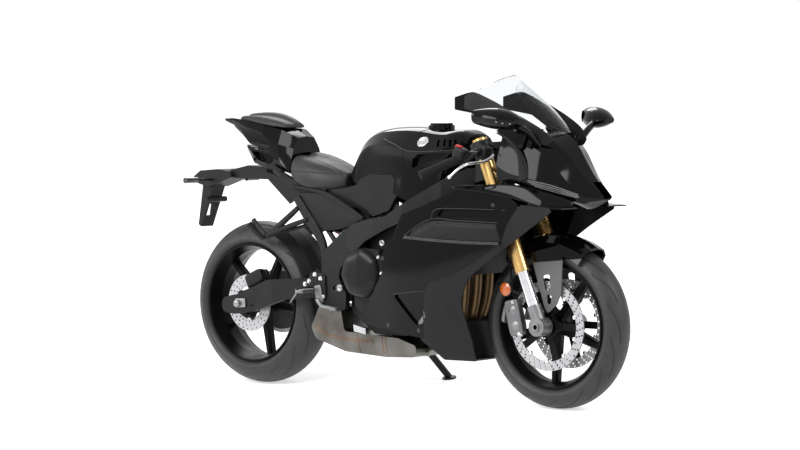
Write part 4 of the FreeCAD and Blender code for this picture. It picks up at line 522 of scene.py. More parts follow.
def onto(name, starts, direction):
    """Where rays from starts first meet a piece, and the outward normal there, by the shares of
    two edges at which each ray cuts each triangle. A ray that misses stays at its start."""
    direction = unit(direction)
    a, b, c = np.moveaxis(triangles_of(name), 1, 0)
    edge_b, edge_c = b - a, c - a
    across = np.cross(direction, edge_c)
    facing = np.einsum("ij,ij->i", across, edge_b)
    facing[np.abs(facing) < LEAST_FACING] = LEAST_FACING
    normals = np.cross(edge_b, edge_c)
    normals /= np.maximum(np.linalg.norm(normals, axis=1, keepdims=True), LEAST_FACING)
    starts = np.asarray(starts, float)
    places, outward = [], []
    for lot in np.array_split(starts, max(1, math.ceil(len(starts) / PROBES_AT_ONCE))):
        gap = lot[:, None] - a[None]
        first = np.einsum("ijk,jk->ij", gap, across) / facing
        swing = np.cross(gap, edge_b[None])
        second = swing @ direction / facing
        away = np.einsum("ijk,jk->ij", swing, edge_c) / facing
        away[(first < 0) | (second < 0) | (first + second > 1) | (away < 0)] = np.inf
        nearest = away.argmin(axis=1)
        found = away[np.arange(len(lot)), nearest]
        missed = ~np.isfinite(found)
        found[missed] = 0
        normal = normals[nearest]
        normal[normal @ direction > 0] *= -1
        normal[missed] = -direction
        places.append(lot + found[:, None] * direction)
        outward.append(normal)
    return np.vstack(places), np.vstack(outward)


# Shapes that the pieces share

NEARLY_UPRIGHT = 0.9


def frame_about(axis):
    """Two directions square to an axis."""
    axis = unit(axis)
    helper = [0.0, 0.0, 1.0] if abs(axis[2]) < NEARLY_UPRIGHT else [1.0, 0.0, 0.0]
    first = unit(np.cross(helper, axis))
    return first, np.cross(axis, first)


def circles(first, second, segments):
    """A circle of radius one for each pair of directions: cosine of one, sine of the other."""
    angles = round_steps(segments)[:, None]
    return np.cos(angles) * first[..., None, :] + np.sin(angles) * second[..., None, :]


def turned(profile, centre, axis, segments):
    """A profile of (radius, height) pairs turned about an axis: closed where it starts and
    ends on the axis."""
    profile = np.asarray(profile, float)
    radii, heights = profile[:, None, :1], profile[:, None, 1:]
    return wrapped(radii * circles(*frame_about(axis), segments) + heights * unit(axis) + centre)


def tube(path, radius, segments):
    """A round tube carried along a path: at each point a circle square to the path's run, and
    at each end a point that closes it."""
    run = unit(np.gradient(path, axis=0))
    helper = frame_about(run.mean(axis=0) + LEAST_FACING)[0]
    first = unit(np.cross(run, helper))
    radii = np.broadcast_to(radius, len(path))
    rings = path[:, None] + radii[:, None, None] * circles(first, np.cross(run, first), segments)
    ends = np.repeat(path[[0, -1], None], segments, axis=1)
    return wrapped(np.concatenate([ends[:1], rings, ends[1:]]))


def smooth_path(points, count):
    """A curve through given points, by cubic runs whose slopes follow the neighbours."""
    points = np.asarray(points, float)
    ahead = np.vstack([2 * points[0] - points[1], points, 2 * points[-1] - points[-2]])
    share = np.linspace(0, len(points) - 1, count)
    index = np.minimum(share.astype(int), len(points) - 2)
    step = (share - index)[:, None]
    p0, p1, p2, p3 = (ahead[index + shift] for shift in range(4))
    return 0.5 * (2 * p1 + (p2 - p0) * step + (2 * p0 - 5 * p1 + 4 * p2 - p3) * step ** 2
                  + (3 * p1 - p0 - 3 * p2 + p3) * step ** 3)


def welded(points, faces):
    """The same faces with points that lie on each other made one."""
    places, kept = np.unique(np.round(points, 3), axis=0, return_inverse=True)
    return places, kept.reshape(-1)[faces]


# Bolts: a button head with a hollow socket, and a washer under it

# The profile's radii and heights are shares of the head's radius
BOLT_PROFILE = [(0, 0.245), (0.42, 0.245), (0.48, 0.7), (0.8, 0.7), (1, 0.455), (1, 0.12), (1.35, 0.12),
                (1.35, -0.12), (0, -0.12)]


def bolt(place, axis, radius):
    """One bolt head seated at a place, turned from its profile, with its washer."""
    return turned(np.multiply(BOLT_PROFILE, radius), place, axis, segments=20)


# Both sides: places are given for the rider's left, and Y changes sign on the right

RIGHT = -1.0
LEFT = 1.0
SIDES = {RIGHT: "right", LEFT: "left"}
REACH = 420.0


def on_side(points, side):
    """Places given for the rider's left, carried to one side of the machine."""
    return np.asarray(points, float) * (1.0, side, 1.0)


def out_at(places, side):
    """Places given in X and Z, put well out at one side of the machine."""
    return np.array([(x, side * REACH, z) for x, z in places])


def dropped(node_name, starts, side):
    """Places out at one side cast straight in onto a carried piece: where they land, the
    outward normals there, and which of them land at all."""
    seats, normals = onto(node_name, starts, (0.0, -side, 0.0))
    return seats, normals, np.abs(seats[:, 1] - starts[:, 1]) > LEAST_FACING


def seated_bolts(node_name, places, radius, side=RIGHT):
    """Bolt heads seated on a piece at places given in X and Z, seen from one side."""
    seats, normals, found = dropped(node_name, out_at(places, side), side)
    return [bolt(seat, normal, radius) for seat, normal in zip(seats[found], normals[found])]


def add(name, lots, body, slot, material=None, replaces=()):
    """One piece from several lots of points and faces, in its slot's own finish unless another
    is given."""
    mesh_piece(name, *joined(lots), body, slot, material or FINISH[slot], replaces)


# Panels and plates: closed shells between two lines

RIM_FALL = 0.8
RIPPLE_STEP = 2.0
FEWEST_SEATS = 4


def shell(outer, inner):
    """A closed shell of two grids of points: the outer grid, the inner grid turned round, and
    the rims between them."""
    rows, columns = outer.shape[:2]
    points = np.concatenate([outer, inner[:, ::-1]], axis=1).reshape(-1, 3)
    across = np.arange(columns - 1)
    far = 2 * columns - 1 - across
    last = (rows - 1) * 2 * columns
    faces = np.vstack([grid_faces(rows, 2 * columns, wrap_columns=True),
                       np.column_stack([across + 1, across, far, far - 1]),
                       np.column_stack([across, across + 1, far - 1, far]) + last])
    return points, facing_out(points, faces)


def uneven(count):
    """Shares from 0 to 1 that crowd towards both ends, by a cosine."""
    return (1 - np.cos(np.linspace(0, np.pi, count))) / 2


def between(upper, lower, share):
    """A grid of points that run straight from each point of one line to the other's."""
    return upper[:, None] * (1 - share)[None, :, None] + lower[:, None] * share[None, :, None]


def panel(upper, lower, thickness, crown=0.0, ease=5.0, steps=(64, 25)):
    """A panel between an upper line and a lower one: points run straight from line to line, the
    panel bulges sideways by a parabola, and each rim falls back along a quarter circle."""
    rows, columns = steps
    high, low = smooth_path(upper, rows), smooth_path(lower, rows)
    share, along = uneven(columns), np.linspace(0, 1, rows)
    flat = between(high, low, share)
    side = np.sign(flat[..., 1].mean())
    length = np.linalg.norm(np.diff(high, axis=0), axis=1).sum()
    height = np.linalg.norm(high - low, axis=1)[:, None]
    away = np.minimum((np.minimum(along, 1 - along) * length)[:, None],
                      np.minimum(share, 1 - share)[None] * height)
    fall = thickness * RIM_FALL * (1 - np.sqrt(1 - np.clip(1 - away / ease, 0, 1) ** 2))
    bulge = crown * 4 * (share * (1 - share))[None] * np.ones((rows, 1))
    outer, inner = flat.copy(), flat.copy()
    outer[..., 1] += side * (bulge - fall)
    inner[..., 1] += side * (bulge - thickness)
    return shell(outer, inner)


def laid(node_name, lines, side, lift, depth=1.2, steps=(56, 11)):
    """A thin patch that lies on a carried piece between two lines given in X and Z, seen from
    one side: each point of the grid between the lines is dropped onto the piece."""
    rows, columns = steps
    high, low = [smooth_path(out_at(line, side), rows) for line in lines]
    flat = between(high, low, uneven(columns)).reshape(-1, 3)
    seats, _, found = dropped(node_name, flat, side)
    seats[~found, 1] = seats[found, 1].mean()
    seats = seats.reshape(rows, columns, 3)
    return shell(seats + [0.0, side * lift, 0.0], seats - [0.0, side * depth, 0.0])


def laid_line(node_name, line, radius, side, ripple=0.0, steps=60):
    """A half-sunk bead along a line given in X and Z, dropped onto a piece from one side. Its
    radius swells and shrinks by a sine along it."""
    seats, _, found = dropped(node_name, smooth_path(out_at(line, side), steps), side)
    seats = seats[found]
    if len(seats) < FEWEST_SEATS:
        return []
    return [tube(seats, radius + ripple * np.sin(np.arange(len(seats)) * RIPPLE_STEP), segments=8)]


def block(centre, half, turn, power, steps=(28, 40)):
    """A block with rounded edges, a superellipsoid: each cosine and sine of a ball's two angles
    is raised to a small power. The block is turned about Y by an angle in degrees."""
    def squared(value):
        return np.sign(value) * np.abs(value) ** power
    rise = np.linspace(-np.pi / 2, np.pi / 2, steps[0])[:, None]
    round_way = round_steps(steps[1])[None]
    x = squared(np.cos(rise)) * squared(np.cos(round_way)) * half[0]
    z = squared(np.cos(rise)) * squared(np.sin(round_way)) * half[2]
    y = squared(np.sin(rise)) * half[1] * np.ones_like(round_way)
    lean = math.radians(turn)
    return wrapped(np.stack([x * math.cos(lean) - z * math.sin(lean), y,
                             x * math.sin(lean) + z * math.cos(lean)], axis=-1) + centre)


def rod(places, side, radius, steps, segments):
    """A tube along a smooth line through places given for the rider's left."""
    return tube(smooth_path(on_side(places, side), steps), radius, segments)


def blocks(rows, side):
    """Blocks given for the rider's left by place, half sizes, turn and roundness."""
    return [block(on_side(place, side), half, turn, power) for place, half, turn, power in rows]


# Tyres with their tread

TYRES = {
    "front": {"centre": FRONT_AXLE, "radius": FRONT_RADIUS, "half": 60.0, "crown": 62.0, "bead": 226.0,
              "bead_half": 44.7, "seat": 219.3, "around": 1080, "cuts": 14},
    "rear": {"centre": REAR_AXLE, "radius": REAR_RADIUS, "half": 90.0, "crown": 95.0, "bead": 228.0,
             "bead_half": 72.7, "seat": 220.3, "around": 1000, "cuts": 13},
}
CROWN_COLUMNS = 61
WALL_COLUMNS = 9
WALL_BULGE = 2.0
WALL_POWER = 1.6
BEAD_LIP = 2.0
RIM_RIDGE = {"height": 0.8, "place": 0.82, "width": 0.05}
# Each cut's length and width are in millimetres, and its place is a share of the half width
GROOVE_DEPTH = 2.4
SIPE_DEPTH = 1.8
LONG_SLASH = {"length": 62.0, "lean": 0.20, "bend": 0.0016, "width": 4.6}
LONG_SLASH_PLACE = 0.42
SHORT_SLASH = {"length": 38.0, "lean": 0.34, "bend": -0.0012, "width": 4.2}
SHORT_SLASH_PLACE = 0.68
SHORT_SLASH_PHASE = 0.45
SIPE = {"lean": 0.25, "bend": 0.0, "width": 2.6}
SIPE_PLACE = 0.98
SIPE_LENGTH = 0.17
SIPE_PHASE = 0.75
OTHER_SIDE_PHASE = 0.5
GROOVE_WALL = 1.8
GROOVE_TAPER = 3.0


def slash(around, across, centre, length, lean, bend, width):
    """How deep a long groove is at each place, from 0 to 1: a line across = centre + lean s
    + bend s^2 along the tread, with soft sides and tapered ends."""
    line = centre + lean * around + bend * around ** 2
    side = np.clip(1 - np.abs(across - line) / width, 0, 1)
    taper = np.clip((1 - np.abs(around) / length) * GROOVE_TAPER, 0, 1)
    return np.clip(side * GROOVE_WALL, 0, 1) * taper


def tread(angles, across, radius, half, cuts):
    """The tread's grooves: each side has a row of long slashes that lean away from the middle,
    a shorter one between them, and short cuts out on the shoulder."""
    pitch = 2 * np.pi / cuts

    def along(phase):
        return ((angles / pitch + phase) % 1 - 0.5) * pitch * radius

    depth = np.zeros(np.broadcast(angles, across).shape)
    for side, phase in ((LEFT, 0.0), (RIGHT, OTHER_SIDE_PHASE)):
        out = across * side
        step, other, third = along(phase), along(phase + SHORT_SLASH_PHASE), along(phase + SIPE_PHASE)
        long_cut = slash(step, out, half * LONG_SLASH_PLACE, **LONG_SLASH) * GROOVE_DEPTH
        short_cut = slash(other, out, half * SHORT_SLASH_PLACE, **SHORT_SLASH) * GROOVE_DEPTH
        sipe = slash(out - half * SIPE_PLACE, third, 0, half * SIPE_LENGTH, **SIPE) * SIPE_DEPTH
        depth = np.maximum.reduce([depth, long_cut, short_cut, sipe])
    return depth


def tyre(end):
    """A tyre turned about its axle: a round crown, side walls that bulge a little, and beads,
    with the tread sunk into the crown."""
    data = TYRES[end]
    lean = math.asin(data["half"] / data["crown"])
    turn = np.linspace(-lean, lean, CROWN_COLUMNS)
    crown_r = data["radius"] - data["crown"] * (1 - np.cos(turn))
    crown_y = data["crown"] * np.sin(turn)
    share = np.linspace(0, 1, WALL_COLUMNS)[1:]
    wall_r = crown_r[-1] + (data["bead"] + BEAD_LIP - crown_r[-1]) * share
    wall_y = data["half"] + (data["bead_half"] - data["half"]) * share ** WALL_POWER
    wall_y += WALL_BULGE * np.sin(np.pi * share)
    wall_y += RIM_RIDGE["height"] * np.exp(-((share - RIM_RIDGE["place"]) / RIM_RIDGE["width"]) ** 2)
    foot_r = np.array([data["seat"], data["seat"]])
    foot_y = np.array([data["bead_half"], data["bead_half"] * 0.5])
    r = np.concatenate([foot_r[::-1], wall_r[::-1], crown_r, wall_r, foot_r])
    y = np.concatenate([-foot_y[::-1], -wall_y[::-1], crown_y, wall_y, foot_y])
    angles = round_steps(data["around"])
    first = len(foot_r) + len(wall_r)
    crown = slice(first, first + CROWN_COLUMNS)
    grooves = np.zeros((len(angles), len(r)))
    grooves[:, crown] = tread(angles[:, None], turn[None] * data["crown"], data["radius"],
                              lean * data["crown"], data["cuts"])
    reach = r[None] - grooves
    points = np.stack([reach * np.cos(angles)[:, None], np.broadcast_to(y, reach.shape),
                       reach * np.sin(angles)[:, None]], axis=2)
    points, faces = wrapped(points, wrap_rows=True)
    piece = mesh_piece(end + "_tyre_tread", points + data["centre"], faces, end + "_wheel", "tyre",
                       FINISH["tyre"], replaces=(end + "_tyre",))
    # Each point's share of the groove depth, which the rubber turns into painted shade in the grooves
    painted_groove_shade = piece.data.attributes.new("groove", "FLOAT", "POINT")
    painted_groove_shade.data.foreach_set("value", (grooves / GROOVE_DEPTH).astype(np.float32).ravel())


for end in TYRES:
    tyre(end)


# Brake discs, drilled

CELL_SIDE = 4
FRONT_DISC_OUT = 64.0
REAR_DISC_OUT = -88.0
FRONT_DISC = {"inner": 127.0, "outer": 160.0, "thickness": 5.0, "rows": 3, "columns": 36, "hole": 3.9,
              "twist": 0.11}
REAR_DISC_SIZES = {"inner": 64.0, "outer": 110.0, "thickness": 5.4, "rows": 3, "columns": 26, "hole": 3.4,
                   "twist": 0.2}


def drilled_disc(name, replaces, body, material, centre, inner, outer, thickness, rows, columns, hole, twist):
    """A disc tiled by cells between its rims, each a square ring round one drilled hole: the
    holes' rows lean by a twist from the inner rim to the outer one."""
    edge = np.linspace(-1, 1, CELL_SIDE + 1)[:-1]
    low, high = -np.ones(CELL_SIDE), np.ones(CELL_SIDE)
    square = np.column_stack([np.concatenate([edge, high, -edge, low]),
                              np.concatenate([low, edge, high, -edge])])
    row, column = (part.ravel() for part in np.meshgrid(np.arange(rows), np.arange(columns), indexing="ij"))
    depth = (outer - inner) / rows
    pitch = 2 * np.pi / columns
    middle_r = inner + (row + 0.5) * depth
    middle_a = ((column + 0.5) * pitch)[:, None]

    def lean(radial):
        return twist * (radial - inner) / (outer - inner)

    def at_side(radial, angular, side):
        return np.stack([radial * np.cos(angular), np.full(radial.shape, side * thickness / 2),
                         radial * np.sin(angular)], axis=-1)

    ring_r = middle_r[:, None] + square[None, :, 0] * depth / 2
    ring_a = middle_a + square[None, :, 1] * pitch / 2 + lean(ring_r)
    heading = np.arctan2(square[:, 1], square[:, 0])
    hole_r = middle_r[:, None] + hole * np.cos(heading)[None]
    hole_a = middle_a + lean(middle_r)[:, None] + hole * np.sin(heading)[None] / middle_r[:, None]
    layers = np.stack([at_side(ring_r, ring_a, -1), at_side(hole_r, hole_a, -1),
                       at_side(hole_r, hole_a, 1), at_side(ring_r, ring_a, 1)], axis=1)
    base = np.arange(len(row))[:, None, None] * 4 * len(square)
    lots = [(layers.reshape(-1, 3), (base + grid_faces(4, len(square), wrap_columns=True)).reshape(-1, 4))]
    angles = round_steps(columns * CELL_SIDE)
    for radius, shift in ((inner, 0.0), (outer, twist)):
        rim = np.stack([at_side(np.full(angles.shape, radius), angles + shift, side) for side in (-1, 1)])
        faces = grid_faces(2, len(angles), wrap_columns=True)
        lots.append((rim.reshape(-1, 3), faces if radius == inner else faces[:, ::-1]))
    points, faces = welded(*joined(lots))
    mesh_piece(name, points + centre, faces, body, "disc", material, replaces, smooth=False)


for side in (LEFT, RIGHT):
    drilled_disc("front_disc_drilled_" + SIDES[side], ("front_disc_" + SIDES[side],), "front_wheel",
                 FINISH["disc"], FRONT_AXLE + [0, side * FRONT_DISC_OUT, 0], **FRONT_DISC)
drilled_disc("rear_disc_drilled", ("rear_disc",), "rear_wheel", REAR_DISC,
             REAR_AXLE + [0, REAR_DISC_OUT, 0], **REAR_DISC_SIZES)


# What carries the discs: bobbins between each front one and its carrier, and a plate at the rear

BOBBIN_COUNT = 10
BOBBIN_CIRCLE = 124.0
BOBBIN_START = 0.3
BOBBIN_PROFILE = [(0, -4), (6.2, -4), (7.2, -3.4), (7.2, 3.4), (6.2, 4.4), (4.2, 4.4), (3.6, 2.4), (0, 2.4)]
CARRIER_ARMS = 5
CARRIER_BORE = 36.0
CARRIER_ROOT = 54.0
CARRIER_REACH = 16.0
CARRIER_HALF = 3.6
CARRIER_EDGE = 1.0
CARRIER_STEPS = 240


def bobbins():
    """Ten turned bobbins a side, where each disc floats on its carrier."""
    lots = []
    for side in (LEFT, RIGHT):
        for turn in round_steps(BOBBIN_COUNT) + BOBBIN_START:
            place = FRONT_AXLE + [BOBBIN_CIRCLE * math.cos(turn), side * FRONT_DISC_OUT,
                                  BOBBIN_CIRCLE * math.sin(turn)]
            lots.append(turned(BOBBIN_PROFILE, place, (0, side, 0), segments=18))
    add("front_disc_bobbins", lots, "front_wheel", "steel", SILVER)


def rear_disc_carrier():
    """A dark plate with five arms that carries the rear disc: a ring whose outer radius swells
    by a raised cosine at each arm."""
    angles = round_steps(CARRIER_STEPS)
    swell = (0.5 + 0.5 * np.cos(CARRIER_ARMS * angles)) ** 2
    outer = CARRIER_ROOT + CARRIER_REACH * swell
    bore = np.full(CARRIER_STEPS, CARRIER_BORE)
    face, edge = CARRIER_HALF, CARRIER_HALF - CARRIER_EDGE
    rings = [(bore, face), (outer - CARRIER_EDGE, face), (outer, edge), (outer, -edge),
             (outer - CARRIER_EDGE, -face), (bore, -face)]
    points = np.stack([np.stack([ring * np.cos(angles), np.full(CARRIER_STEPS, REAR_DISC_OUT - height),
                                 ring * np.sin(angles)], axis=-1) for ring, height in rings])
    add("rear_disc_carrier", [wrapped(points + REAR_AXLE, wrap_rows=True)], "rear_wheel", "wheel")


bobbins()
rear_disc_carrier()


# Bolts on the brackets, the engine's covers and the bodywork, at places read from the picture

FRAME_BOLT_SHARES = [(-0.225, 0.377), (-0.245, 0.355), (-0.26, 0.345), (-0.205, 0.365), (-0.205, 0.32),
                     (-0.197, 0.307)]
COVER_BOLT_SHARES = [(-0.025, 0.48), (0.02, 0.445), (0.03, 0.395), (0.032, 0.38), (0.012, 0.335),
                     (-0.06, 0.335)]
FAIRING_BOLT_SHARES = [(0.285, 0.21), (0.055, 0.235), (0.155, 0.225), (0.06, 0.445), (0.40, 0.62)]
FRAME_BOLT_RADIUS = 7.0
COVER_BOLT_RADIUS = 5.0
FAIRING_BOLT_RADIUS = 6.0
ENGINE_COVERS = {RIGHT: "clutch_cover", LEFT: "generator_cover"}


def shares(pairs):
    """Places given in shares of the wheelbase and the height, in millimetres."""
    return [(WHEELBASE * x, HEIGHT * z) for x, z in pairs]


def bolts():
    """Silver bolts on brackets and engine covers, dark ones on the bodywork, on both sides."""
    bright, dark = [], []
    for side, label in SIDES.items():
        bright += seated_bolts("footrests", shares(FRAME_BOLT_SHARES), FRAME_BOLT_RADIUS, side)
        bright += seated_bolts(ENGINE_COVERS[side], shares(COVER_BOLT_SHARES), COVER_BOLT_RADIUS, side)
        dark += seated_bolts("side_fairing_" + label, shares(FAIRING_BOLT_SHARES), FAIRING_BOLT_RADIUS, side)
    add("bright_bolts", bright, "root", "steel", SILVER)
    add("dark_bolts", dark, "root", "steel", DARK_STEEL)


bolts()


# Seats: foam under a stretched cover

SEAT_CELL = 0.005
SEAT_EASE = 6
SEAT_CROWN = 3.0
WELT_DEPTH = 2.2
WELT_WIDTH = 2.6
SIDE_WELT_HEIGHT = HEIGHT * 0.703
SIDE_WELT_START = -WHEELBASE * 0.24
SIDE_WELT_SLOPE = -0.02
SIDE_WELT_FACING = 0.75
TOP_WELT_OUT = 62.0


def seat(name, node_name, welts, fill):
    """A seat's cover over its foam: the solid under it as an even skin whose edges are eased,
    crowned a little, and drawn in along each sewn line."""
    blank = new_object(name + "_form", NODES[node_name].data.copy())
    weld = blank.modifiers.new("weld", "WELD")
    weld.merge_threshold = MM / 100
    skin = blank.modifiers.new("skin", "REMESH")
    skin.mode = "VOXEL"
    skin.voxel_size = SEAT_CELL
    ease = blank.modifiers.new("ease", "SMOOTH")
    ease.factor = 0.5
    ease.iterations = SEAT_EASE
    finer = blank.modifiers.new("finer", "SUBSURF")
    finer.levels = finer.render_levels = 1
    mesh = bpy.data.meshes.new_from_object(blank.evaluated_get(bpy.context.evaluated_depsgraph_get()))
    bpy.data.objects.remove(blank)
    corners = rows_of(mesh.vertices, "co")
    normals = rows_of(mesh.vertex_normals, "vector")
    rise = normals @ leaned((0, 0, 1))
    move = SEAT_CROWN * np.clip(rise, 0, 1) ** 2
    for welt in welts:
        move -= welt(upright(corners), rise)
    corners = corners + normals * (move * MM)[:, None]
    mesh.vertices.foreach_set("co", corners.astype(np.float32).ravel())
    mesh.polygons.foreach_set("use_smooth", np.full(len(mesh.polygons), True))
    mesh.materials.clear()
    mesh.materials.append(FINISH["seat"])
    piece = new_object(name, mesh)
    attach(piece, "root")
    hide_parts(node_name)


def sewn(distance):
    """How far a sewn line draws the cover in: a bell curve of the distance from the line."""
    return WELT_DEPTH * np.exp(-(distance / WELT_WIDTH) ** 2)


def side_welt(places, rise):
    """A welt along each side, below the shoulder of the seat."""
    line = SIDE_WELT_HEIGHT + SIDE_WELT_SLOPE * (places[:, 0] - SIDE_WELT_START)
    return sewn(places[:, 2] - line) * (rise < SIDE_WELT_FACING)


def top_welt(places, rise):
    """Sewn lines along the top, a hand's width from the middle."""
    return sewn(np.abs(places[:, 1]) - TOP_WELT_OUT) * np.clip(rise, 0, 1)


seat("rider_seat_cover", "rider_seat", [side_welt, top_welt], 0.85)
seat("pillion_seat_cover", "pillion_seat", [], 0.9)


# Exhaust: weld lines on its box, and a band clamp

WELD_LINES = [
    [(-352, 249), (-281, 219), (-215, 210), (-150, 206), (-63, 207)],
    [(-352, 243), (-281, 213), (-215, 204), (-150, 200), (-63, 201)],
    [(-146, 239), (-135, 193), (-126, 160)],
    [(-22, 240), (-19, 200), (-12, 160)],
    [(-6, 240), (-3, 200), (4, 160)],
]
WELD_RADIUS = 1.6
WELD_RIPPLE = 0.25
CLAMP_LINES = [[(-160, 262), (-130, 256), (-100, 250)], [(-156, 236), (-126, 232), (-98, 228)]]
CLAMP_LIFT = 3.0
CLAMP_BOLT = (-128, 244)
CLAMP_BOLT_RADIUS = 6.5


def weld_lines():
    """Beads laid on the exhaust box: each a rippled half-sunk tube along a line on its side, and
    a band clamp with its bolt."""
    beads = []
    for side in SIDES:
        for line in WELD_LINES:
            beads += laid_line("exhaust", line, WELD_RADIUS, side, WELD_RIPPLE)
    add("exhaust_welds", beads, "root", "exhaust", COPPER)
    clamp = laid("exhaust", CLAMP_LINES, RIGHT, CLAMP_LIFT, steps=(12, 9))
    add("exhaust_clamp", [clamp] + seated_bolts("exhaust", [CLAMP_BOLT], CLAMP_BOLT_RADIUS), "root",
        "steel", SILVER)


weld_lines()


# Shock spring

SPRING_RADIUS = 36.0
SPRING_WIRE = 5.5
SPRING_TURNS = 7
SPRING_STEPS = 28
SPRING_SHARE = 0.40


def shock_spring():
    """The spring round the shock: a helix along the shock's own axis."""
    points = triangles_of("shock").reshape(-1, 3)
    middle = points.mean(axis=0)
    spread = points - middle
    axis = np.linalg.svd(spread, full_matrices=False)[2][0]
    along = spread @ axis
    reach = (along.max() - along.min()) * SPRING_SHARE
    share = np.linspace(0, 1, SPRING_TURNS * SPRING_STEPS)
    first, second = frame_about(axis)
    turn = share * SPRING_TURNS * 2 * np.pi
    path = (middle + ((share * 2 - 1) * reach)[:, None] * axis
            + SPRING_RADIUS * (np.cos(turn)[:, None] * first + np.sin(turn)[:, None] * second))
    add("shock_spring", [tube(path, SPRING_WIRE, segments=12)], "root", "steel", SPRING)


shock_spring()


# Reflectors on the fork, on a short stalk from each lug

REFLECTOR_PLACE = (567.0, 122.0, 428.0)
REFLECTOR_LENS = [(0, 3.0), (23.0, 2.4), (24.5, 0), (0, 0)]
REFLECTOR_RIM = [(0, -5), (24.0, -5), (27.0, -2), (27.0, 2.2), (24.6, 2.6), (24.6, 0), (0, 0)]
REFLECTOR_STALK = [(567.0, 117.0, 428.0), (589.0, 113.0, 424.0), (619.0, 108.0, 412.0)]
STALK_RADIUS = 4.0


def reflectors():
    """Round amber reflectors in dark rims, behind the fork's tubes."""
    glass, holders = [], []
    for side in SIDES:
        place = on_side(REFLECTOR_PLACE, side)
        glass.append(turned(REFLECTOR_LENS, place, (0, side, 0), segments=40))
        holders.append(turned(REFLECTOR_RIM, place, (0, side, 0), segments=40))
        holders.append(rod(REFLECTOR_STALK, side, STALK_RADIUS, steps=12, segments=10))
    add("amber_reflectors", glass, "steering", "amber", AMBER)
    add("reflector_holders", holders, "steering", "matte")


reflectors()


# Lines and patches laid on the bodywork, at places in shares of the wheelbase and the height

LIGHT_LINE_SHARES = [
    [(0.482, 0.6965), (0.545, 0.6815), (0.602, 0.6530)],
    [(0.490, 0.6905), (0.548, 0.6745), (0.603, 0.6490)],
    [(0.498, 0.6845), (0.552, 0.6675), (0.604, 0.6455)],
    [(0.506, 0.6785), (0.556, 0.6605), (0.600, 0.6440)],
]
LIGHT_LINE_RADIUS = 1.3
# Painted highlights on the side panels: pale beads along creases and edges, each line with its radius
FAIRING_HIGHLIGHT_SHARES = [
    ([(0.135, 0.520), (0.215, 0.571), (0.30, 0.570), (0.417, 0.567)], 1.3),
    ([(0.220, 0.577), (0.236, 0.603), (0.34, 0.606), (0.438, 0.605)], 1.2),
    ([(0.141, 0.515), (0.25, 0.509), (0.35, 0.506), (0.440, 0.507)], 1.6),
    ([(0.090, 0.335), (0.150, 0.345), (0.222, 0.352)], 1.2),
]
# Painted highlight: a pale bead along the tank's side crease
TANK_HIGHLIGHT_SHARES = [(-0.012, 0.813), (0.044, 0.795), (0.101, 0.776), (0.180, 0.777), (0.239, 0.782),
                      (0.280, 0.781)]
TANK_HIGHLIGHT_RADIUS = 1.3
TANK_SEAM_SHARES = [(0.120, 0.845), (0.100, 0.832), (0.086, 0.806), (0.075, 0.776), (0.072, 0.735),
                    (0.072, 0.70)]
TANK_SEAM_RADIUS = 1.2
# Each patch on the side fairing: its finish, its lift off the panel, and its two lines
PATCHES = {
    # Painted light: a pale patch where the belly's slot looks bright
    "belly_slot_painted_light": (LIGHT_LINE, 1.5, [(0.152, 0.247), (0.175, 0.276), (0.190, 0.301)],
                    [(0.163, 0.244), (0.187, 0.274), (0.203, 0.301)]),
    "side_bands": (FINISH["engine"], 1.4, [(0.165, 0.540), (0.222, 0.566), (0.32, 0.565), (0.412, 0.562)],
                   [(0.155, 0.519), (0.24, 0.514), (0.34, 0.511), (0.425, 0.512)]),
    # Painted highlight: a pale ledge under the side band
    "side_ledge_highlights": (CREASE_HIGHLIGHT, 2.5, [(0.138, 0.519), (0.25, 0.512), (0.35, 0.509), (0.430, 0.509)],
                    [(0.132, 0.510), (0.25, 0.503), (0.35, 0.500), (0.430, 0.501)]),
}


def light_lines():
    """Four thin light guides that lie on each lamp's lens."""
    lots = []
    for side in SIDES:
        for line in LIGHT_LINE_SHARES:
            lots += laid_line("position_lamps", shares(line), LIGHT_LINE_RADIUS, side, steps=40)
    add("lamp_light_lines", lots, "root", "lamp", LIGHT_LINE)


def bodywork_lines():
    """Painted highlights as pale beads along creases on the side panels and the tank, and a dark seam on the tank.
    """
    bright, dark = [], []
    for side, label in SIDES.items():
        for line, radius in FAIRING_HIGHLIGHT_SHARES:
            bright += laid_line("side_fairing_" + label, shares(line), radius, side)
        bright += laid_line("fuel_tank", shares(TANK_HIGHLIGHT_SHARES), TANK_HIGHLIGHT_RADIUS, side)
        dark += laid_line("fuel_tank", shares(TANK_SEAM_SHARES), TANK_SEAM_RADIUS, side)
    add("painted_crease_highlights", bright, "root", "matte", CREASE_HIGHLIGHT)
    add("tank_seams", dark, "root", "gloss", SEAM)


def patches():
    """The pale patch at the belly's slot, painted light where it looks bright; the band on the side; and the pale
    ledge under it, a painted highlight.
    """
    for name, (material, lift, *lines) in PATCHES.items():
        lots = [laid("side_fairing_" + label, [shares(line) for line in lines], side, lift)
                for side, label in SIDES.items()]
        add(name, lots, "root", "matte", material)


light_lines()
bodywork_lines()
patches()


# Panels round the nose and the screen, and covers, rails and hangers under the seat

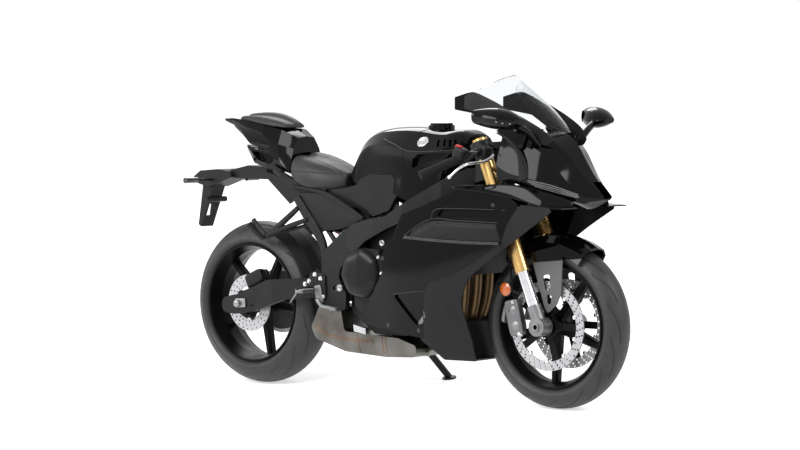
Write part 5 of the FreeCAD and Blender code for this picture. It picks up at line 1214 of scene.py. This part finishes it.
# Each panel's slot, its sizes, and its upper and lower lines on the rider's left
PANELS = {
    "nose_bridge": (
        "gloss", {"thickness": 4.0, "crown": 3.0},
        [(385, 200, 800), (500, 198, 801), (600, 186, 806), (680, 176, 800), (750, 161, 784),
         (805, 137, 766), (852, 104, 746)],
        [(385, 206, 782), (500, 204, 776), (600, 198, 764), (690, 194, 748), (760, 188, 732),
         (812, 160, 727), (852, 112, 728)]),
    "screen_trim": (
        "matte", {"thickness": 4.0, "crown": 2.0},
        [(400, 149, 1120), (442, 150, 1131), (520, 150, 1104), (586, 148, 1074), (660, 140, 1038),
         (726, 124, 1000), (765, 100, 962)],
        [(400, 151, 1072), (440, 155, 1062), (490, 156, 1046), (552, 156, 1030), (620, 148, 995),
         (680, 138, 962), (741, 112, 940)]),
    "mirror_feet": (
        "gloss", {"thickness": 6.0, "crown": 4.0},
        [(556, 168, 995), (600, 168, 1006), (653, 167, 1004), (692, 158, 988)],
        [(590, 170, 976), (610, 170, 950), (634, 170, 930), (668, 162, 931)]),
    "cockpit_struts": (
        "matte", {"thickness": 5.0, "crown": 4.0},
        [(583, 172, 986), (640, 170, 956), (676, 166, 908), (692, 164, 868), (700, 166, 822)],
        [(556, 173, 988), (604, 172, 962), (650, 172, 915), (660, 173, 868), (664, 176, 814)]),
    "frame_covers": (
        "matte", {"thickness": 5.0, "crown": 5.0},
        [(-432, 112, 752), (-360, 116, 754), (-286, 118, 750), (-200, 120, 711), (-113, 122, 668)],
        [(-440, 112, 736), (-392, 116, 680), (-338, 118, 618), (-245, 120, 612), (-118, 122, 640)]),
    "seat_tray": (
        "matte", {"thickness": 60.0, "crown": 2.0},
        [(-440, 84, 778), (-330, 90, 770), (-240, 92, 772), (-150, 90, 790), (-96, 84, 800)],
        [(-430, 88, 748), (-330, 94, 742), (-240, 96, 716), (-150, 92, 690), (-96, 86, 660)]),
    "seat_rails": (
        "matte", {"thickness": 8.0, "crown": 2.0, "ease": 4.0},
        [(-455, 122, 778), (-380, 124, 772), (-286, 126, 758), (-190, 126, 716), (-96, 126, 668)],
        [(-452, 122, 764), (-380, 124, 758), (-294, 126, 738), (-196, 126, 694), (-100, 126, 644)]),
    "pillion_hangers": (
        "frame", {"thickness": 12.0, "crown": 2.0},
        [(-418, 128, 742), (-366, 128, 680), (-318, 128, 622), (-284, 128, 560), (-280, 128, 505)],
        [(-448, 128, 724), (-404, 128, 662), (-356, 128, 604), (-314, 128, 548), (-306, 128, 505)]),
    "spar_liners": (
        "engine", {"thickness": 8.0},
        [(-120, 100, 640), (0, 100, 690), (110, 100, 720)],
        [(-120, 100, 545), (0, 100, 540), (110, 100, 540)]),
}

for panel_name, (panel_slot, sizes, upper_line, lower_line) in PANELS.items():
    add(panel_name, [panel(on_side(upper_line, side), on_side(lower_line, side), **sizes) for side in SIDES],
        "root", panel_slot)


# The belly's front, and the bars that carry the passenger's pegs

BELLY_FRONT = 412.0
BELLY_BOW = 30.0
BELLY_LEAN = 48.0
BELLY_HALF = 98.0
BELLY_FOOT = 162.0
BELLY_RISE = 140.0
BELLY_SHEET = 4.0
PEG_BARS = [[(-420, 128, 690), (-465, 132, 655), (-512, 138, 618), (-566, 146, 586)],
            [(-372, 128, 650), (-440, 134, 628), (-510, 142, 604), (-568, 148, 584)]]
PEG_BAR_RADIUS = 10.0
PEG_BAR_TAPER = 2.0
PEG_BAR_STEPS = 30
FOLDED_PEG = [(-566, 150, 586), (-596, 154, 612), (-624, 158, 644)]
FOLDED_PEG_RADIUS = 9.0


def crossed(columns, rows, foot=-1.0):
    """Shares across from -1 to 1 and up from a foot to 1, as two grids."""
    return np.meshgrid(np.linspace(-1, 1, columns), np.linspace(foot, 1, rows), indexing="ij")


def belly_nose():
    """The front of the belly: a sheet that bows forwards across the machine by a parabola and
    leans back as it rises."""
    across, up = crossed(33, 13, foot=0.0)
    face = np.stack([BELLY_FRONT - BELLY_BOW * across ** 2 - BELLY_LEAN * up, BELLY_HALF * across,
                     BELLY_FOOT + BELLY_RISE * up], axis=-1)
    add("belly_nose", [shell(face, face - [BELLY_SHEET, 0.0, 0.0])], "root", "matte")


def hanger_bars():
    """The two bars that carry each folded passenger peg: tubes whose ends are drawn in by a
    fourth power, and the peg's own stem."""
    radii = PEG_BAR_RADIUS - PEG_BAR_TAPER * np.linspace(-1, 1, PEG_BAR_STEPS) ** 4
    lots = []
    for side in SIDES:
        lots += [rod(path, side, radii, PEG_BAR_STEPS, segments=14) for path in PEG_BARS]
        lots.append(rod(FOLDED_PEG, side, FOLDED_PEG_RADIUS, steps=16, segments=14))
    add("hanger_bars", lots, "root", "frame")


belly_nose()
hanger_bars()


# The tank's plain discs

BADGE_PLACE = (184.0, 118.0, 949.0)
BADGE_SLOPE = (0.04, 0.75, 0.66)
BADGE_PROFILE = [(0, 2.2), (17, 2.0), (18.5, 3.4), (21.5, 3.4), (23, 2.0), (23, -2.0), (0, -2.0)]

add("tank_badges", [turned(BADGE_PROFILE, on_side(BADGE_PLACE, side), on_side(BADGE_SLOPE, side), segments=48)
                    for side in SIDES], "root", "steel", SILVER)


# Controls: levers, switches and hoses on the steering

LEVER_PATH = [(505, 118, 905), (516, 150, 893), (522, 200, 883), (520, 255, 879), (515, 290, 873),
              (500, 316, 857), (478, 331, 832)]
LEVER_RADIUS = 7.5
LEVER_TAPER = 3.0
LEVER_TAPER_POWER = 0.6
LEVER_STEPS = 60
SWITCH_BLOCKS = [((436, 214, 912), (25, 24, 22), -22.0, 0.45), ((474, 134, 918), (27, 24, 26), -22.0, 0.4)]
STOP_SWITCH_BLOCKS = [((430, 216, 936), (14, 9, 6), -18.0, 0.5)]
HOSE_PATH = [(470, 112, 925), (466, 104, 880), (480, 100, 800), (512, 96, 700), (546, 92, 600),
             (566, 92, 500), (576, 92, 420), (588, 90, 392)]
HOSE_RADIUS = 4.2


def levers():
    """Bright levers ahead of the grips: a tube that tapers by a power of its length along the
    lever's bend, with a ball."""
    radii = LEVER_RADIUS - LEVER_TAPER * np.linspace(0, 1, LEVER_STEPS) ** LEVER_TAPER_POWER
    turn = np.linspace(0, np.pi, 13)
    ball = LEVER_RADIUS * np.column_stack([np.sin(turn), -np.cos(turn)])
    lots = []
    for side in SIDES:
        curve = smooth_path(on_side(LEVER_PATH, side), LEVER_STEPS)
        lots.append(tube(curve, radii, segments=14))
        lots.append(turned(ball, curve[-1], (0, side, 0), segments=20))
    add("bright_levers", lots, "steering", "steel", SILVER)


levers()
add("switch_housings", [lot for side in SIDES for lot in blocks(SWITCH_BLOCKS, side)], "steering", "engine")
add("stop_switch", blocks(STOP_SWITCH_BLOCKS, RIGHT), "steering", "engine", RED_SWITCH)
add("brake_hoses", [rod(HOSE_PATH, side, HOSE_RADIUS, steps=90, segments=10) for side in SIDES],
    "steering", "rubber")


# Engine covers, and what is bolted beside them

COVER_CENTRE = (-52.0, 187.0, 463.0)
COVER_RADIUS = 88.0
COVER_HEIGHT = 34.0
COVER_ROUND = 0.42
COVER_SWELL = 0.8
COVER_FACETS = 7
COVER_TURN = 0.35
COVER_LEAN = 0.10
COVER_OVAL = 1.04
COVER_RINGS = 30
COVER_SPOKES = 112
# The fittings' profile, with its radii as shares, and each one's place and radius
FITTING_PROFILE = [(0, 5), (0.4, 5), (0.5, 8), (0.85, 8), (1, 5.5), (1, -1), (0, -1)]
FITTINGS = [((17, 148, 574), 13.0), ((-197, 141, 399), 14.0)]


def cover_domes():
    """A cast dome on each engine cover: a turned form whose radius falls by a power of a
    cosine, drawn in between seven flats, with a step at its rim and a flat top that leans."""
    share = np.linspace(0, 1, COVER_RINGS)[:, None]
    angles = round_steps(COVER_SPOKES)[None]
    pitch = 2 * np.pi / COVER_FACETS
    flat = np.cos(np.pi / COVER_FACETS) / np.cos((angles + COVER_TURN) % pitch - pitch / 2)
    mix = share ** 0.5
    radius = COVER_RADIUS * np.cos(share * np.pi / 2) ** COVER_ROUND
    reach = radius * ((1 - mix) + mix * flat * COVER_OVAL)
    across = reach * np.cos(angles)
    height = COVER_HEIGHT * np.sin(share * np.pi / 2) ** COVER_SWELL
    height = height - np.maximum(COVER_LEAN * across * share, 0)
    dome = np.stack([across, height, reach * np.sin(angles) * COVER_OVAL], axis=-1)
    dome = np.concatenate([np.zeros((1, COVER_SPOKES, 3)), dome]) + COVER_CENTRE
    add("cover_domes", [wrapped(on_side(dome, side)) for side in SIDES], "root", "cover")


def fitting(place, radius, side):
    """A cap with a sunk socket and a flange, turned from its profile."""
    return turned(np.multiply(FITTING_PROFILE, (radius, 1)), on_side(place, side), (0, side, 0), segments=36)


cover_domes()
add("engine_fittings", [fitting(place, radius, side) for side in SIDES for place, radius in FITTINGS],
    "root", "steel")


# Rests, pedals and chain adjusters

REST_BLOCKS = [((-333, 192, 384), (20, 36, 7), 0.0, 0.35)]
REST_RIB_PLACE = (-333, 192, 391)
REST_RIB_HALF = (19, 1.6, 2.4)
REST_RIBS = np.linspace(-30, 30, 9)
FEELER_PATH = [(-345, 222, 378), (-362, 222, 358), (-378, 220, 341)]
FEELER_RADIUS = 3.2
PEDAL_PATH = [(-300, 158, 352), (-272, 164, 330), (-236, 170, 326), (-190, 174, 322)]
PEDAL_RADIUS = 7.5
PEDAL_BLOCKS = [((-192, 180, 323), (16, 17, 6), 4.0, 0.35), ((-296, 150, 372), (17, 5, 34), 14.0, 0.4)]
ADJUSTER_BLOCKS = [((-700, 149, 319), (26, 5, 17), 3.0, 0.25)]
ADJUSTER_NUT_PLACE = (-712, 155, 317)
ADJUSTER_NUT = [(0, 12), (12, 12), (15, 9), (15, 0), (0, 0)]


def rests():
    """Ribbed bright rests for the rider's feet, each with a feeler under its end, and the brake
    and gear pedals."""
    lots, pedals = [], []
    for side in SIDES:
        lots += blocks(REST_BLOCKS, side)
        for step in REST_RIBS:
            place = on_side(np.add(REST_RIB_PLACE, (0, step, 0)), side)
            lots.append(block(place, REST_RIB_HALF, turn=0.0, power=0.4, steps=(10, 16)))
        lots.append(rod(FEELER_PATH, side, FEELER_RADIUS, steps=12, segments=10))
        pedals.append(rod(PEDAL_PATH, side, PEDAL_RADIUS, steps=30, segments=12))
        pedals += blocks(PEDAL_BLOCKS, side)
    add("rider_rests", lots, "root", "cast_grey")
    add("foot_pedals", pedals, "root", "cast_grey")


def adjusters():
    """A bright chain adjuster at each end of the rear axle, round its nut."""
    lots = []
    for side in SIDES:
        lots += blocks(ADJUSTER_BLOCKS, side)
        lots.append(turned(ADJUSTER_NUT, on_side(ADJUSTER_NUT_PLACE, side), (0, side, 0), segments=6))
    add("chain_adjusters", lots, "root", "steel")


rests()
adjusters()


# Brake calipers

CALIPER_LEAN = 14.0
CALIPER_BLOCKS = [((584, 87, 326), (31, 14, 66), CALIPER_LEAN, 0.30),
                  ((570, 47, 328), (22, 7, 56), CALIPER_LEAN, 0.30),
                  ((536, 68, 337), (8, 26, 34), -12.0, 0.40)]
CAP_PLACE = (586, 99, 326)
CAP_STEPS = (-30.0, 26.0)
CAP_PROFILE = [(0, 5), (9, 5), (11, 3.5), (16, 3), (18, 1), (18, -3), (0, -3)]
CALIPER_BOLT_PLACE = (596, 98, 326)
CALIPER_BOLT_STEPS = (-58.0, 58.0)
CALIPER_BOLT_RADIUS = 7.0
REAR_CALIPER_BLOCKS = [((-664, -104, 414), (44, 15, 26), 24.0, 0.35),
                       ((-660, -74, 414), (40, 10, 24), 24.0, 0.35),
                       ((-664, -88, 428), (30, 22, 12), 24.0, 0.4)]


def calipers():
    """Four-piston calipers, each of rounded blocks on both sides of its disc with two piston
    caps and two bolts, and the slim rear one."""
    lean = math.radians(CALIPER_LEAN)
    run = np.array([-math.sin(lean), 0, math.cos(lean)])
    bodies, caps, pins = [], [], []
    for side in SIDES:
        bodies += blocks(CALIPER_BLOCKS, side)
        caps += [turned(CAP_PROFILE, on_side(CAP_PLACE, side) + run * step, (0, side, 0), segments=32)
                 for step in CAP_STEPS]
        pins += [bolt(on_side(CALIPER_BOLT_PLACE, side) + run * step, (0, side, 0), CALIPER_BOLT_RADIUS)
                 for step in CALIPER_BOLT_STEPS]
    add("caliper_bodies", bodies, "steering", "cast_grey", CALIPER, replaces=("front_calipers",))
    add("caliper_caps", caps, "steering", "cast_grey")
    add("caliper_bolts", pins, "steering", "steel", SILVER)
    add("rear_caliper_body", blocks(REAR_CALIPER_BLOCKS, LEFT), "root", "cast_grey", FINISH["engine"],
        replaces=("rear_caliper",))


calipers()


# Mirror glass and lamps, and the display

MIRROR_START = 400.0
MIRROR_OUT = WIDTH * 0.428
MIRROR_HALF = WIDTH * 0.052
MIRROR_MIDDLE = HEIGHT * 0.882
MIRROR_HALF_HEIGHT = HEIGHT * 0.019
MIRROR_END_BOW = 0.35
MIRROR_TOP_BOW = 0.45
MIRROR_PROUD = 1.5
MIRROR_SUNK = 3.0
MIRROR_LAMPS = [(814.0, 484.0, 1038.0), (842.0, 484.0, 1034.0), (874.0, 484.0, 1033.0)]
MIRROR_LAMP_SIGHT = (-0.64, -0.77, -0.05)
LENS_PROFILE = [(0, 1.6), (8, 1.2), (10, -1), (0, -1)]
BULB_PROFILE = [(0, 4.0), (2.5, 3.4), (4, 1.4), (0, 1.2)]
DISPLAY_FRONT = 553.0
DISPLAY_BACK = 556.0
DISPLAY_BOW = 2.0
DISPLAY_HALF = 78.0
DISPLAY_MIDDLE = 965.0
DISPLAY_HALF_HEIGHT = 28.0


def mirror_glass():
    """A glass in the back of each mirror: an oval whose rim bows by square roots, flat on the
    line that best fits the housing's rear face."""
    across, up = crossed(25, 13)
    front_faces = grid_faces(*across.shape)
    lots = []
    for side in SIDES:
        y = side * (MIRROR_OUT + MIRROR_HALF * across * np.sqrt(1 - MIRROR_END_BOW * up ** 2))
        z = MIRROR_MIDDLE + MIRROR_HALF_HEIGHT * up * np.sqrt(1 - MIRROR_TOP_BOW * across ** 2)
        starts = np.stack([np.full(y.shape, MIRROR_START), y, z], axis=-1).reshape(-1, 3)
        seats, _ = onto("mirrors", starts, (1.0, 0.0, 0.0))
        found = seats[:, 0] - MIRROR_START > LEAST_FACING
        depth = np.polyval(np.polyfit(starts[found, 1], seats[found, 0], 1), starts[:, 1])
        back = np.column_stack([depth - MIRROR_PROUD, starts[:, 1:]])
        front = np.column_stack([depth + MIRROR_SUNK, starts[:, 1:]])
        lots.append((np.vstack([back, front]), np.vstack([front_faces, front_faces[:, ::-1] + len(back)])))
    add("mirror_glass", lots, "root", "mirror", MIRROR_GLASS)


def mirror_lamps():
    """Three small lamps in a row on the front of each mirror, each in a dark lens."""
    lens, bulbs = [], []
    for side in SIDES:
        starts = on_side(MIRROR_LAMPS, side)
        seats, normals = onto("mirrors", starts, on_side(MIRROR_LAMP_SIGHT, side))
        found = np.abs(seats[:, 0] - starts[:, 0]) > LEAST_FACING
        for seat_place, normal in zip(seats[found], normals[found]):
            lens.append(turned(LENS_PROFILE, seat_place, normal, segments=24))
            bulbs.append(turned(BULB_PROFILE, seat_place, normal, segments=16))
    add("mirror_lamp_lenses", lens, "root", "lamp")
    add("mirror_lamp_bulbs", bulbs, "root", "lamp", LIGHT_LINE)


def display():
    """A dark glass over the instrument's face, bowed by a parabola each way."""
    across, up = crossed(25, 15)
    rear = np.stack([np.full(across.shape, DISPLAY_BACK), DISPLAY_HALF * across,
                     DISPLAY_MIDDLE + DISPLAY_HALF_HEIGHT * up], axis=-1)
    face = rear.copy()
    face[..., 0] = DISPLAY_FRONT - DISPLAY_BOW * (1 - across ** 2) * (1 - up ** 2)
    add("display_glass", [shell(face, rear)], "root", "lamp", GLASS)


mirror_glass()
mirror_lamps()
display()


# Floor, background and light

FLOOR_HALF = 200.0
FLOOR_SHADE = 0.85
FLOOR_GLOW = 0.57
PLAIN_LIGHT = 0.5
SEEN_LIGHT = 1.0
LAMP_AIM = (0.0, 0.0, 0.5)
# Each lamp's place and size in metres, and its power in watts
LAMPS = {
    "key": ((-0.4, -3.6, 4.2), 3.0, 260.0),
    "side": ((-4.2, -3.0, 2.2), 1.4, 60.0),
    "fill": ((4.5, 0.8, 3.0), 1.6, 90.0),
    "rear": ((-3.0, 3.5, 3.5), 2.0, 70.0),
}


def seen_by_eye(tree):
    """One where a ray comes from the camera, or by way of a mirror or glass."""
    path = tree.nodes.new("ShaderNodeLightPath")
    seen = path.outputs["Is Camera Ray"]
    for name in ("Is Glossy Ray", "Is Transmission Ray"):
        both = tree.nodes.new("ShaderNodeMath")
        both.operation = "MAXIMUM"
        tree.links.new(seen, both.inputs[0])
        tree.links.new(path.outputs[name], both.inputs[1])
        seen = both.outputs[0]
    return seen


def floor_finish():
    """A pale floor that looks white away from the shadow: part of its white is its own."""
    made = bpy.data.materials.new("floor_pale")
    made.use_nodes = True
    tree = made.node_tree
    shader = tree.nodes["Principled BSDF"]
    shader.inputs["Base Color"].default_value = (FLOOR_SHADE, FLOOR_SHADE, FLOOR_SHADE, 1)
    shader.inputs["Roughness"].default_value = 1.0
    shader.inputs["Specular IOR Level"].default_value = 0.0
    shader.inputs["Emission Color"].default_value = (1, 1, 1, 1)
    scaled = tree.nodes.new("ShaderNodeMath")
    scaled.operation = "MULTIPLY"
    scaled.inputs[1].default_value = FLOOR_GLOW
    tree.links.new(seen_by_eye(tree), scaled.inputs[0])
    tree.links.new(scaled.outputs[0], shader.inputs["Emission Strength"])
    return made


def make_floor():
    """A square floor, far wider than the picture."""
    mesh = bpy.data.meshes.new("floor")
    corners = [(-1, -1), (1, -1), (1, 1), (-1, 1)]
    mesh.from_pydata([(x * FLOOR_HALF, y * FLOOR_HALF, 0) for x, y in corners], [], [(0, 1, 2, 3)])
    mesh.materials.append(floor_finish())
    floor = new_object("floor", mesh)


def make_surround():
    """A white surround that the camera sees in full and the machine is lit by in part."""
    world = bpy.data.worlds.new("surround")
    bpy.context.scene.world = world
    world.use_nodes = True
    tree = world.node_tree
    tree.nodes.clear()
    out = tree.nodes.new("ShaderNodeOutputWorld")
    mix = tree.nodes.new("ShaderNodeMixShader")
    for socket, strength in ((1, PLAIN_LIGHT), (2, SEEN_LIGHT)):
        light = tree.nodes.new("ShaderNodeBackground")
        light.inputs["Strength"].default_value = strength
        light.inputs["Color"].default_value = (1, 1, 1, 1)
        tree.links.new(light.outputs[0], mix.inputs[socket])
    tree.links.new(seen_by_eye(tree), mix.inputs["Fac"])
    tree.links.new(mix.outputs[0], out.inputs["Surface"])


def make_lamp(name, place, size, power):
    """A square soft lamp that faces the machine's middle."""
    data = bpy.data.lights.new(name, "AREA")
    data.size = size
    data.energy = power
    away = unit(np.subtract(place, LAMP_AIM))
    right = unit(np.cross([0, 0, 1], away))
    set_place(new_object(name, data), right, np.cross(away, right), away, place)


make_floor()
make_surround()
for lamp_name, lamp_values in LAMPS.items():
    make_lamp(lamp_name, *lamp_values)
bpy.context.scene.view_settings.view_transform = "Standard"

bpy.context.view_layer.update()
